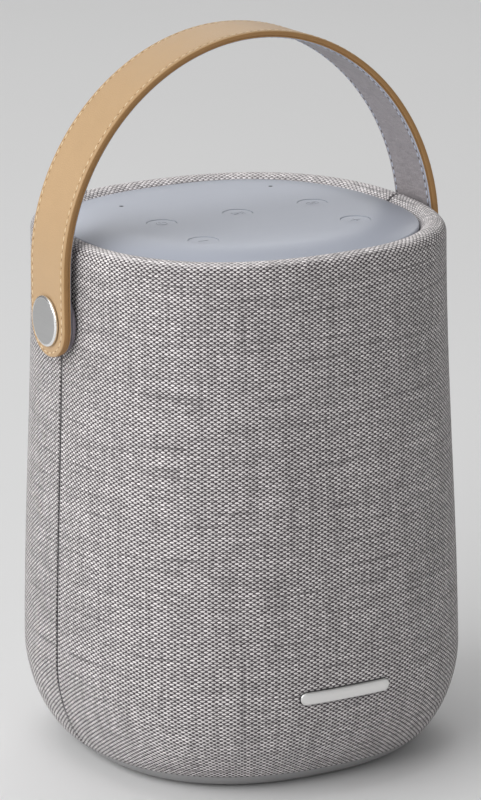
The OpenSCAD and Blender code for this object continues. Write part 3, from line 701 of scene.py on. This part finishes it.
def cloth_panel(name, front):
    """One half of the fabric skin, from seam to seam, as a closed sheet of real thickness."""
    cols, total = columns()
    verts, weave, seam = [], [], []
    for inner in (False, True):
        for half, z, out_r, out_z, length in reversed(ROWS) if inner else ROWS:
            for c in cols:
                x, y = plan_at(c / HALF_W, front)
                nx, ny = plan_normal(x, y)
                s = min(c, total - c) * half / HALF_W
                lift = seam_shape(s)
                if inner:
                    lift = min(-SKIN_T, lift - 0.35 * MM)
                py = half * y + ny * out_r * lift
                if s < 1e-9:
                    # a hair of space keeps the two panels apart at the seam
                    py = -0.02 * MM if front else 0.02 * MM
                verts.append((half * x + nx * out_r * lift, py, z + out_z * lift))
                weave.append((c + 7.3 * MM if front else c, length))
                end = min(length - ROWS[0][4], ROWS[-1][4] - length)
                seam.append((s, min(end * 2 + 0.6 * MM, 10 * MM)))
    # up the outside and down the inside in one grid, then a strip that closes each seam end
    n, total_verts = len(cols), len(verts)
    faces = grid_faces(2 * len(ROWS), n, wrap_rows=True)
    for a in range(0, total_verts // 2 - n, n):
        b = total_verts - n - a
        faces += [(a + e, a + n + e, b - n + e, b + e) for e in (0, n - 1)]
    node = "fabric_front" if front else "fabric_rear"
    ob = make(name, verts, faces, [CLOTH], "body", [node], {"weave": weave, "seam": seam})
    face_outward(ob.data)
    return ob


FRONT = cloth_panel("fabric_front_panel", True)
REAR = cloth_panel("fabric_rear_panel", False)


def cut(ob, verts, faces):
    """Takes a closed shape out of a piece, and leaves it a plain mesh."""
    me = new_mesh("cutter", verts, faces)
    face_outward(me)
    tool = new_object("cutter", me)
    m = ob.modifiers.new("cut", "BOOLEAN")
    m.operation, m.solver, m.object = "DIFFERENCE", "EXACT", tool
    graph = bpy.context.evaluated_depsgraph_get()
    done = bpy.data.meshes.new_from_object(ob.evaluated_get(graph), depsgraph=graph)
    ob.modifiers.remove(m)
    old, name = ob.data, ob.data.name
    ob.data = done
    bpy.data.meshes.remove(old)
    done.name = name
    bpy.data.objects.remove(tool)
    bpy.data.meshes.remove(me)


def stadium(half_len, r, ends, sides):
    """Points of a pill outline, with its long side along the first value."""
    out = []
    for sign in (1, -1):
        out += [(sign * (-half_len + 2 * half_len * k / sides), -sign * r) for k in range(sides)]
        for t in (math.pi * k / ends for k in range(ends)):
            out.append((sign * (half_len + r * math.sin(t)), -sign * r * math.cos(t)))
    return out


def pill_loft(loops, place, ends, sides, hollow=False):
    """Skins (half length, radius, height) pill loops; place(a, b, h) gives the point.

    A hollow one joins its last loop to its first. Any other is closed at both ends by a ladder of faces
    between the long sides and one face at each round end.
    """
    rings = [[place(a, b, h) for a, b in stadium(half, r, ends, sides)] for half, r, h in loops]
    n = len(rings[0])
    verts = [p for ring in rings for p in ring]
    faces = grid_faces(len(rings), n, hollow, True)
    if not hollow:
        for base, turn in ((0, -1), (len(verts) - n, 1)):
            ring = list(range(base, base + n))
            far = 2 * sides + ends
            caps = [(ring[k], ring[k + 1], ring[far - k - 1], ring[far - k]) for k in range(sides)]
            caps += [tuple(ring[sides:sides + ends + 1]), tuple(ring[far:] + ring[:1])]
            faces += [cap[::turn] for cap in caps]
    return verts, faces


def pills(half, r, h, *steps):
    """Loops for pill_loft, all with one half length."""
    return [(half, *point) for point in offsets(r, h, *steps)]


def middle_z(node):
    """The middle height of a node's box and half the box's height."""
    low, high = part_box(node)
    return (low.z + high.z) / 2, (high.z - low.z) / 2


PIVOT_Z, CAP_R = middle_z("stud_right")
SPACER_R = middle_z("spacer_right")[1]
BADGE_Z, BADGE_R = middle_z("badge")
PORT_Z = middle_z("port_panel")[0]

# the charge port's panel sits in a hole in the cloth, which the cutter crosses from 50 to 80 mm back
PORT_HALF = 7.0 * MM
cut(REAR, *pill_loft([(PORT_HALF, 6.7 * MM, y) for y in (50 * MM, 80 * MM)],
                     lambda a, b, h: Vector((a, h, PORT_Z + b)), 20, 12))


def seam_stitches(side, name):
    """Thread that shows in a side seam, from the hem over the rim, apart from behind the spacer."""
    places = []
    step = 1.05 * MM
    half, z, out_r, out_z, lengths = zip(*ROWS)
    d = 1.4 * MM
    while d < lengths[-1] - 5 * MM:
        x, up, nx, nz = (float(np.interp(d, lengths, column)) for column in (half, z, out_r, out_z))
        if abs(up - PIVOT_Z) >= SPACER_R + 0.8 * MM or nx <= 0.5:
            n = Vector((side * nx, 0, nz)).normalized()
            along = Vector((-side * nz, 0, nx)).normalized()
            wobble = 0.05 * MM * math.sin(d * 3100)
            places.append((Vector((side * x, wobble, up)) - n * 0.30 * MM, along, n))
        d += step
    beads(name, places, (0.43, 0.26, 0.20), SEAM_THREAD, "body", steps=6)


seam_stitches(-1, "seam_thread_left")
seam_stitches(1, "seam_thread_right")

# ---- strap handle

LEATHER_LOW, LEATHER_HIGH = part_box("strap_leather")
ARCH_R = LEATHER_HIGH.x
ARCH_Z = LEATHER_HIGH.z - ARCH_R
STRAP_HALF = LEATHER_HIGH.y
LINING_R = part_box("strap_lining")[1].x
LINING_IN = LINING_R - 1.0 * MM
END_Z = LEATHER_LOW.z + STRAP_HALF
LEG = ARCH_Z - END_Z
MID_R = 69.2 * MM
STRAP_LEN = 2 * LEG + math.pi * MID_R
TWIST, LEAN_X, LEAN_Y = 0.072, 0.015, 0.028


def settle(p):
    """The strap as it stands: twisted a little about the upright and leaning a little towards its top."""
    h = max(p.z - PIVOT_Z - 9 * MM, 0.0)
    h = h * h / (h + 12 * MM) * 1.12
    a = TWIST * h / (89 * MM)
    x, y = p.x + LEAN_X * h, p.y * (1.05 - h * 0.75) + LEAN_Y * h
    return Vector((x * math.cos(a) - y * math.sin(a), x * math.sin(a) + y * math.cos(a), p.z))


def strap_point(s, w, r):
    """A point of the handle: s along it from the left end, w across it, r out from its inside."""
    if s < LEG:
        p = Vector((-r, w, END_Z + s))
    elif s > STRAP_LEN - LEG:
        p = Vector((r, w, END_Z + STRAP_LEN - s))
    else:
        a = (s - LEG) / MID_R
        # the strap is pressed a little thinner over the arch
        r = ARCH_R - (ARCH_R - r) * (1 - 0.24 * math.sin(a) ** 2)
        p = Vector((-r * math.cos(a), w, ARCH_Z + r * math.sin(a)))
    return settle(p)


def strap_out(s):
    return (strap_point(s, 0, 0.1) - strap_point(s, 0, 0.05)).normalized()


def strap_solid(name, rings, base_r, mat, replaced, painted):
    """Skins (inset from the edge, height over base_r) rings round the strap's pill outline.

    painted are the numbers of the first ring with edge paint and of the first one after it.
    """
    ends, sides, core = 28, 150, STRAP_HALF - 0.4 * MM
    rings = [(core, rings[0][1])] + rings + [(core, rings[-1][1])]
    half = STRAP_LEN / 2
    pills = [(half, STRAP_HALF - d, h) for d, h in rings]
    verts, faces = pill_loft(pills, lambda a, b, h: strap_point(a + half, b, base_r + h), ends, sides)
    flat = [(a + half, b) for _, r, _ in pills for a, b in stadium(half, r, ends, sides)]
    n = 2 * (ends + sides)
    paint = [int(painted[0] <= min(f) // n < painted[1] and max(f) // n > min(f) // n) for f in faces]
    ob = make(name, verts, faces, [mat, EDGE], "handle", [replaced], {"cut": flat}, paint)
    for side in (-1, 1):
        # the stud's hole, which the cutter crosses from 60 to 80 mm out
        r, near, far = 5.0 * MM, 60 * MM, 80 * MM
        cut(ob, *lathe([(0, near), (r, near), (r, far), (0, far)], (0, 0, PIVOT_Z), (side, 0, 0), 48))
    face_outward(ob.data, True)


LEATHER_T = ARCH_R - LINING_R
leather_rings = offsets(
    0, LEATHER_T, (8.4, 0), (5.5, 0), (3.3, 0), (2.35, -0.01), (1.95, -0.04), (1.70, -0.10), (1.45, -0.14),
    (1.22, -0.10), (1.02, -0.03), (0.88, -0.01), (0.75, -0.02), (0.52, -0.07), (0.33, -0.16), (0.17, -0.29),
    (0.05, -0.46), (0, -0.66))
leather_rings += [(0.0, LEATHER_T * 0.42)]
leather_rings += offsets(0, 0, (0.03, 0.25), (0.14, 0.08), (0.32, 0), (1.5, 0), (5.5, 0))
strap_solid("leather_strap", leather_rings, LINING_R, LEATHER, "strap_leather", (15, 20))
lining_rings = offsets(
    0, 0, (5.5, 1.0), (1.5, 1.0), (0.40, 1.0), (0.30, 0.92), (0.26, 0.6), (0.30, 0.33), (0.44, 0.08),
    (0.7, 0), (1.0, 0), (1.3, 0.05), (1.55, 0.10), (1.8, 0.05), (2.15, 0), (5.5, 0))
strap_solid("strap_lining_layer", lining_rings, LINING_IN, LINING, "strap_lining", (3, 6))


STITCH = 2.75 * MM


def strap_places(inset, radius, phase, slant=0.0, out=1):
    """Places one stitch apart along a pill line inset from the strap's edge."""
    half, r = STRAP_LEN / 2, STRAP_HALF - inset
    halfway = 2 * half + math.pi * r
    total = 2 * halfway
    count = round(total / STITCH)

    def at(d):
        sign, d = (1 if d % total < halfway else -1), d % halfway
        if d < 2 * half:
            a, b = d - half, -r
        else:
            t = (d - 2 * half) / r
            a, b = half + r * math.sin(t), -r * math.cos(t)
        return strap_point(sign * a + half, sign * b, radius), sign * a + half

    places = []
    for k in range(count):
        d = (k + phase) * total / count
        before, after = at(d - 0.2 * MM)[0], at(d + 0.2 * MM)[0]
        point, s = at(d)
        n = strap_out(s) * out
        along = (after - before).normalized()
        places.append((point, along + n.cross(along) * slant, n))
    return places


OUTER_LINE, INNER_LINE = 1.45 * MM, 1.55 * MM
beads("strap_stitches", strap_places(OUTER_LINE, ARCH_R - 0.07 * MM, 0.0, 0.10),
      (0.76, 0.22, 0.16), CREAM, "handle", 8)
# the leather's needle holes, coloured as painted shade
beads("strap_needle_holes", strap_places(OUTER_LINE, ARCH_R - 0.15 * MM, 0.5),
      (0.24, 0.24, 0.05), HOLE_SHADE, "handle")
beads("lining_stitches", strap_places(INNER_LINE, LINING_IN + 0.02 * MM, 0.25, -0.10, -1),
      (0.80, 0.28, 0.22), BLUE_GREY, "handle", 8)
# the lining's needle holes, coloured as painted shade
beads("lining_needle_holes", strap_places(INNER_LINE, LINING_IN + 0.07 * MM, 0.75, 0.0, -1),
      (0.42, 0.34, 0.05), HOLE_GREY, "handle")

# ---- studs and spacers

HUB_R = 3.5 * MM
CAP_X = ARCH_R + 0.3 * MM
CHAMFER = 0.78 * MM


def distances(node):
    """How far a node's near and far face are from the middle plane of the body."""
    return sorted(abs(corner.x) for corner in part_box(node))


for side, word in ((-1, "left"), (1, "right")):
    inner, outer = distances("stud_" + word)
    outline = [(0, inner), (HUB_R, inner), (HUB_R, CAP_X)] + offsets(CAP_R, CAP_X, (-0.15, 0), (0, 0.15))
    outline += offsets(CAP_R, outer, (0, -0.46), (-0.16, -0.27), (-0.70, -0.05), (-0.80, -0.07))
    outline += [(CAP_R * 0.4, outer - 0.02 * MM), (0, outer)]
    verts, faces = lathe(rounded(outline, 0.08 * MM), (0, 0, PIVOT_Z), (side, 0, 0), 112)
    polished = []
    for face in faces:
        far = max(math.hypot(verts[i].y, verts[i].z - PIVOT_Z) for i in face)
        deep = max(abs(verts[i].x) for i in face)
        polished.append(int(far > CAP_R - CHAMFER and deep > CAP_X - 0.1 * MM))
    solid("stud_cap_" + word, verts, faces, [CAP_FACE, CAP_RING], "body", ["stud_" + word],
          polished, 40)
    near, far = distances("spacer_" + word)
    outline = [(HUB_R, near)] + offsets(SPACER_R, near, (-0.5, 0), (0, 0.35))
    outline += offsets(SPACER_R, far, (0, -0.35), (-0.35, 0)) + [(HUB_R, far)]
    outline = rounded(outline, 0.2 * MM) + [(HUB_R, near)]
    turned("spacer_disc_" + word, outline, (0, 0, PIVOT_Z), (side, 0, 0), 96, SPACER, "body",
           ["spacer_" + word])

# ---- plates with holes

def plate(name, levels, holes, face, under, mat, replaced, pitch=3.2 * MM):
    """A solid with the body's plan.

    levels are (half width, height) rings from the face's outline round to the underside's outline.
    face(x, y) and under(x, y) give the heights of the two sides. holes are (x, y, [(radius, height), ...])
    from the face down to the underside; a height of None takes the side's own height.
    """
    steps = 56
    verts, faces = [], []

    def band(rings):
        """Adds rings of points with faces between them, and gives the numbers of the first and last ring."""
        first, size = len(verts), len(rings[0])
        for ring in rings:
            verts.extend(ring)
        faces.extend(tuple(first + i for i in f) for f in grid_faces(len(rings), size, wrap_cols=True))
        return range(first, first + size), range(len(verts) - size, len(verts))

    borders = [band([plan_ring(half, z) for half, z in levels])]
    for x, y, profile in holes:
        rings = []
        for i, (r, z) in enumerate(profile):
            side = face if i < len(profile) / 2 else under
            turns = (math.tau * k / steps for k in range(steps))
            ring = [(x + r * math.cos(a), y + r * math.sin(a)) for a in turns]
            rings.append([Vector((a, b, side(a, b) if z is None else z)) for a, b in ring])
        borders.append(band(rings))
    for which, side in ((0, face), (-1, under)):
        reach = levels[which][0]

        def in_plate(x, y, clear):
            """Whether a point is on this side, clear of its outline and of its holes."""
            return plan_radius(x, y) <= reach - clear and all(
                math.hypot(x - hx, y - hy) >= profile[which][0] + clear for hx, hy, profile in holes)

        ids, edges = [], []
        for border in borders:
            loop = border[which]
            edges += [(len(ids) + k, len(ids) + (k + 1) % len(loop)) for k in range(len(loop))]
            ids += loop
        count = int(reach / pitch) + 1
        for i in range(-count, count + 1):
            for j in range(-count, count + 1):
                x, y = (i + 0.5 * (j % 2)) * pitch, j * pitch * 0.866
                if in_plate(x, y, pitch * 0.45):
                    ids.append(len(verts))
                    verts.append(Vector((x, y, side(x, y))))
        points, _, tris, source, _, _ = delaunay_2d_cdt([verts[i].xy for i in ids], edges, [], 0, 1e-7)
        for tri in tris:
            centre = sum((points[i] for i in tri), Vector((0, 0))) / len(tri)
            if in_plate(*centre, 0):
                faces.append(tuple(ids[source[i][0]] for i in tri))
    solid(name, verts, faces, [mat], "body", [replaced], None, 38)


COVER_LOW, COVER_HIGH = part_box("top_cover")
COVER_HALF, COVER_Z = COVER_HIGH.x, COVER_HIGH.z
COVER_ROLL, COVER_FALL = 16 * MM, 2.8 * MM


def cover_face(x, y):
    d = max(COVER_HALF - plan_radius(x, y), 0.0)
    return COVER_Z - COVER_FALL * (1 - min(d / COVER_ROLL, 1)) ** 2.2


def cover_under(x, y):
    d = max(COVER_HALF - 2 * MM - plan_radius(x, y), 0.0)
    return COVER_Z - 2.6 * MM - max(0.0, 7 * MM - d) * 0.529


KEYS = {}
for key in ("power_key", "play_key", "link_key", "minus_key", "plus_key"):
    low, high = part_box(key)
    KEYS[key] = ((low.x + high.x) / 2, (low.y + high.y) / 2, high.z)
KEY_R = 4.95 * MM
GAP_R = KEY_R + 0.09 * MM
MIC_R = 0.80 * MM
MICS = [(sx * 28.5 * MM, 28 * MM) for sx in (-1, 1)]
edge_z = cover_face(COVER_HALF, 0)
insets = [d * MM for d in (12.0, 10.0, 8.2, 6.6, 5.2, 4.0, 3.0, 2.2, 1.6, 1.1, 0.7)]
cover_levels = [(COVER_HALF - d, cover_face(COVER_HALF - d, 0)) for d in insets]
cover_levels += offsets(
    COVER_HALF, edge_z, (-0.42, 0.19), (-0.20, 0.03), (-0.06, -0.20), (0, -0.55), (0, -2.5))
cover_levels += offsets(COVER_HALF, COVER_LOW.z, (0, 0), (-2, 0))
cover_levels.append((COVER_HALF - 2 * MM, 174.5 * MM))


def hole(r, lips, drops):
    """A round hole's profile: rings on the face round it, rings below the face, and its lower edge."""
    return ([(r + lip * MM, None) for lip in lips] + [(r, COVER_Z - drop * MM) for drop in drops]
            + [(r, None)])


key_hole = hole(GAP_R, (0.9, 0.35, 0.09), (0.05, 0.3, 1.2, 2.2))
mic_hole = hole(MIC_R, (0.8, 0.2, 0), (0.12, 0.6, 1.2, 2.0))
holes = [(x, y, key_hole) for x, y, _ in KEYS.values()] + [(x, y, mic_hole) for x, y in MICS]
plate("control_cover", cover_levels, holes, cover_face, cover_under, COVER, "top_cover")

for word, (x, y) in zip(("left", "right"), MICS):
    outline = offsets(
        0, COVER_Z, (0, -1.2), (0.77, -1.2), (0.77, -0.12), (0.72, -0.06), (0.3, -0.05), (0, -0.05))
    turned("mic_mesh_" + word, outline, (x, y, 0), (0, 0, 1), 32, MESH_BLACK, "body", sharp=50)

for key, (x, y, top) in KEYS.items():
    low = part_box(key)[0].z
    flange = COVER_Z - 2.7 * MM
    outline = [(0, low), (2.2 * MM, low), (2.2 * MM, flange - 1.0 * MM)]
    outline += offsets(KEY_R, flange, (1.2, -1.0), (1.2, 0), (0, 0))
    outline += offsets(KEY_R, top, (0, -0.20), (-0.02, -0.08), (-0.07, -0.02), (-0.15, 0), (-0.8, -0.01))
    outline += [(KEY_R * part, top - dip * MM) for part, dip in ((0.7, 0.05), (0.4, 0.09), (0, 0.11))]
    turned(key + "_cap", outline, (x, y, 0), (0, 0, 1), 72, KEY, key, [key], 35)


def stroke(path, closed, low, high):
    """A thin raised line along a path in the key's plane, from low to high."""
    width = 0.22 * MM
    section = [(-0.5, 0.0), (-0.5, 0.7), (-0.28, 1.0), (0.28, 1.0), (0.5, 0.7), (0.5, 0.0)]
    verts, n, m = [], len(path), len(section)
    for i, (x, y) in enumerate(path):
        before = path[i - 1 if closed else max(i - 1, 0)]
        after = path[(i + 1) % n if closed else min(i + 1, n - 1)]
        t = Vector((after[0] - before[0], after[1] - before[1])).normalized() * width
        verts += [Vector((x - t.y * w, y + t.x * w, low + (high - low) * h)) for w, h in section]
    faces = grid_faces(n, m, closed, True)
    if not closed:
        faces += [tuple(range(m)), tuple(range((n - 1) * m, n * m))]
    return verts, faces


def arc(x, r, start, end, steps=40):
    turns = (math.radians(start + (end - start) * k / steps) for k in range(steps + 1))
    return [(x + r * math.cos(t), r * math.sin(t)) for t in turns]


def icon(name, key, *strokes):
    """A mark on a key. strokes are paths in millimetres from its middle; one that ends in None is closed."""
    cx, cy, top = KEYS[key]
    verts, faces = [], []
    for path in strokes:
        closed = path[-1] is None
        points = offsets(cx, cy, *(path[:-1] if closed else path))
        v, f = stroke(points, closed, top - 0.14 * MM, top + 0.01 * MM)
        faces += [tuple(len(verts) + i for i in g) for g in f]
        verts += v
    solid(name, verts, faces, [ICON], key, sharp=50)


icon("power_mark", "power_key", arc(0, 1.75, 120, 420), [(0, 0.5), (0, 2.3)])
icon("play_mark", "play_key", [(-1.9, -1.5), (-1.9, 1.5), (0.4, 0), None],
     [(1.2, -1.5), (1.2, 1.5)], [(2.1, -1.5), (2.1, 1.5)])
icon("link_mark", "link_key", arc(-1.0, 1.2, 60, 300, 30), arc(1.0, 1.2, -120, 120, 30),
     [(-0.9, 0), (0.9, 0)])
icon("minus_mark", "minus_key", [(-1.8, 0), (1.8, 0)])
icon("plus_mark", "plus_key", [(-1.8, 0), (1.8, 0)], [(0, -1.8), (0, 1.8)])

# ---- base, foot, badge and port

BASE_LOW, BASE_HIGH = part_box("base_cap")
BASE_Z, BASE_TOP = BASE_LOW.z, BASE_HIGH.z
PLATE_Z = BASE_TOP - 0.9 * MM
rim_in = skin_half(6.2 * MM) - 3.4 * MM
base_levels = [(rim_in, PLATE_Z)] + offsets(rim_in, BASE_TOP, (0, -0.15), (0.15, 0))
base_levels += [(skin_half(5.9 * MM) - 0.38 * MM, BASE_TOP), (skin_half(5.7 * MM) - 0.22 * MM, 5.72 * MM)]
base_levels += [(skin_half(z * MM) - 0.2 * MM, z * MM) for z in (5.0, 4.2, 3.4, 2.7, 2.1, 1.6, 1.3)]
base_levels.append((skin_half(1.0 * MM) - 0.3 * MM, 1.05 * MM))
base_levels += offsets(skin_half(BASE_Z), BASE_Z, (-0.55, 0.06), (-0.9, 0))
SINK_Z, LIP_Z = 2.8 * MM, BASE_Z + 0.15 * MM
screw_hole = [(1.7 * MM, None), (1.7 * MM, SINK_Z), (2.9 * MM, SINK_Z), (2.9 * MM, LIP_Z), (3.05 * MM, None)]
contact_hole = [(2.7 * MM, None), (2.7 * MM, SINK_Z), (2.7 * MM, LIP_Z), (2.85 * MM, None)]
holes = [(sx * 30 * MM, sy * 24.5 * MM, screw_hole) for sx in (-1, 1) for sy in (-1, 1)]
holes += [(i * 9 * MM, 0.0, contact_hole) for i in (-1, 0, 1)]
plate("base_shell", base_levels, holes, lambda x, y: PLATE_Z, lambda x, y: BASE_Z, BASE, "base_cap",
      4.5 * MM)

# the foot ring: a closed section with a groove round its sole, carried right round the plan
foot_outer, _, foot_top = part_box("foot_ring")[1]
foot_inner = foot_outer - 6 * MM
half_sole = [(0, 0.3), (0.1, 0.1), (0.3, 0), (1.6, 0), (1.8, 0.2), (2.2, 0.2), (2.4, 0)]
section = [(foot_inner, foot_top)] + offsets(foot_inner, 0, *half_sole)
section += offsets(foot_outer, 0, *((-x, z) for x, z in reversed(half_sole))) + [(foot_outer, foot_top)]
verts = [point for half, z in section for point in plan_ring(half, z)]
faces = grid_faces(len(section), len(verts) // len(section), True, True)
solid("foot_ring_pad", verts, faces, [FOOT], "body", ["foot_ring"])

BADGE_LOW, BADGE_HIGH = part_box("badge")
BADGE_HALF = (BADGE_HIGH.x - BADGE_LOW.x) / 2 - BADGE_R
badge_body = skin_half(BADGE_Z)


def badge_place(x, b, h):
    """A point of the badge, which follows the curve of the body."""
    bow = badge_body * (1 - (1 - abs(x / badge_body) ** SQUARE) ** (1 / SQUARE))
    lean = skin_half(BADGE_Z + b) - badge_body
    return Vector((x, BADGE_LOW.y - 0.05 * MM - lean * 0.9 + bow * 0.85 - h, BADGE_Z + b))


badge_rings = pills(
    BADGE_HALF, BADGE_R, 0, (-0.9, -1.25), (-0.1, -1.25), (0, -1.1), (0, -0.40), (-0.07, -0.22),
    (-0.22, -0.07), (-0.42, 0), (-0.62, 0.02), (-1.1, 0.09), (-1.8, 0.13))
ends, sides = 24, 30
verts, faces = pill_loft(badge_rings, badge_place, ends, sides)
n = 2 * (ends + sides)
# painted shade: the back and the side of the plate take a darker copy of the badge metal, for the shade that
# falls on them
rim = [int(min(f) // n < 4 and max(f) // n <= 5) for f in faces]
solid("blank_badge", verts, faces, [BADGE, BADGE_RIM_SHADE], "body", ["badge"], rim, 45)
cut(FRONT, *pill_loft([(BADGE_HALF, BADGE_R + 0.12 * MM, y) for y in (-60 * MM, -80 * MM)],
                      lambda a, b, h: Vector((a, h, BADGE_Z + b)), 24, 8))

# the port panel: a pill plate with an oval recess and the socket in its floor
PORT_BACK, PORT_FACE = (corner.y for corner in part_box("port_panel"))
RECESS_HALF, SOCKET_HALF = 3.0 * MM, 2.9 * MM
port_rings = pills(PORT_HALF, 0, PORT_BACK, (5.9, 0), (6.2, 0.2), (6.3, 0.5))
port_rings += pills(PORT_HALF, 0, PORT_FACE, (6.3, -0.35), (6.22, -0.15), (6.05, -0.03), (5.8, 0))
port_rings += pills(4.2 * MM, 0, PORT_FACE, (4.3, 0))
port_rings += pills(RECESS_HALF, 0, PORT_FACE, (3.75, 0), (3.58, -0.08), (3.5, -0.3), (3.45, -3.7),
                    (3.3, -3.95), (3.1, -4.0))
port_rings += pills(SOCKET_HALF, 0, PORT_FACE, (2.1, -4.0), (1.92, -4.15), (1.9, -4.4))
port_rings += pills(SOCKET_HALF, 0, PORT_BACK, (1.9, 0))
verts, faces = pill_loft(port_rings, lambda a, b, h: Vector((a, h, PORT_Z + b)), 24, 8, True)
solid("charge_port_panel", verts, faces, [PORT], "body", ["port_panel"], None, 40)

# ---- floor, light and camera

floor_mat = Shader("pale_floor")
*_, point = floor_mat.place()
floor_mat.colour((0.80, 0.80, 0.80), floor_mat.noise(point, 6.0, 3.0) * 0.02 + 0.99)
floor_mat.const(Roughness=0.75, Specular_IOR_Level=0.15)
# flat and wide, so that a low view from any side still sees the whole speaker
SPAN = 9.0
corners = [(x * SPAN, y * SPAN, 0.0) for x, y in ((-1, -1), (1, -1), (1, 1), (-1, 1))]
floor_mesh = new_mesh("studio_floor", corners, [(0, 1, 2, 3)])
floor_mesh.materials.append(floor_mat.mat)
new_object("studio_floor", floor_mesh)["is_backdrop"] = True

world = bpy.data.worlds.new("studio")
world.use_nodes = True
background = world.node_tree.nodes["Background"]
background.inputs["Color"].default_value = (1.0, 1.0, 1.0, 1.0)
background.inputs["Strength"].default_value = 0.235
scene.world = world


def softbox(name, place, target, size, power):
    data = bpy.data.lights.new(name, "AREA")
    data.shape = "RECTANGLE"
    data.size, data.size_y = size
    data.energy = power
    ob = new_object(name, data)
    ob.location = place
    ob.rotation_mode = "QUATERNION"
    ob.rotation_quaternion = (Vector(target) - Vector(place)).to_track_quat("-Z", "Y")


middle = (0.0, 0.0, 0.11)
softbox("key_light", (-1.32, -0.1, 0.82), middle, (2.0, 1.2), 22.0)
softbox("front_fill", (-0.2, -1.6, 0.60), middle, (1.0, 0.9), 3.2)
softbox("top_light", (0.0, 0.35, 1.6), middle, (1.4, 1.2), 7.8)
softbox("back_glow", (0.85, 1.5, 0.85), (0.0, 0.0, 0.18), (1.8, 0.45), 4.8)
scene.view_settings.view_transform = "Standard"

cam_data = bpy.data.cameras.new("camera")
cam_data.sensor_width = 36.0
cam_data.lens = 219.74
cam_data.clip_start, cam_data.clip_end = 0.05, 20.0
cam = new_object("camera", cam_data)
azimuth, elevation, roll = (math.radians(v) for v in (-29.3196, 15.4856, -0.4205))
DISTANCE, AIM_Z, AIM_RIGHT = 1.62713, 0.116652, 0.00047
right = Vector((math.cos(azimuth), math.sin(azimuth), 0.0))
level = Vector((math.sin(azimuth), -math.cos(azimuth), 0.0))
away = level * math.cos(elevation) + Vector((0, 0, math.sin(elevation)))
up = away.cross(right)
cam_right = right * math.cos(roll) + up * math.sin(roll)
cam_up = up * math.cos(roll) - right * math.sin(roll)
cam.location = Vector((0.0, 0.0, AIM_Z)) + right * AIM_RIGHT + away * DISTANCE
cam.rotation_mode = "QUATERNION"
cam.rotation_quaternion = Matrix((cam_right, cam_up, away)).transposed().to_quaternion()
scene.camera = cam

low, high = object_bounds()
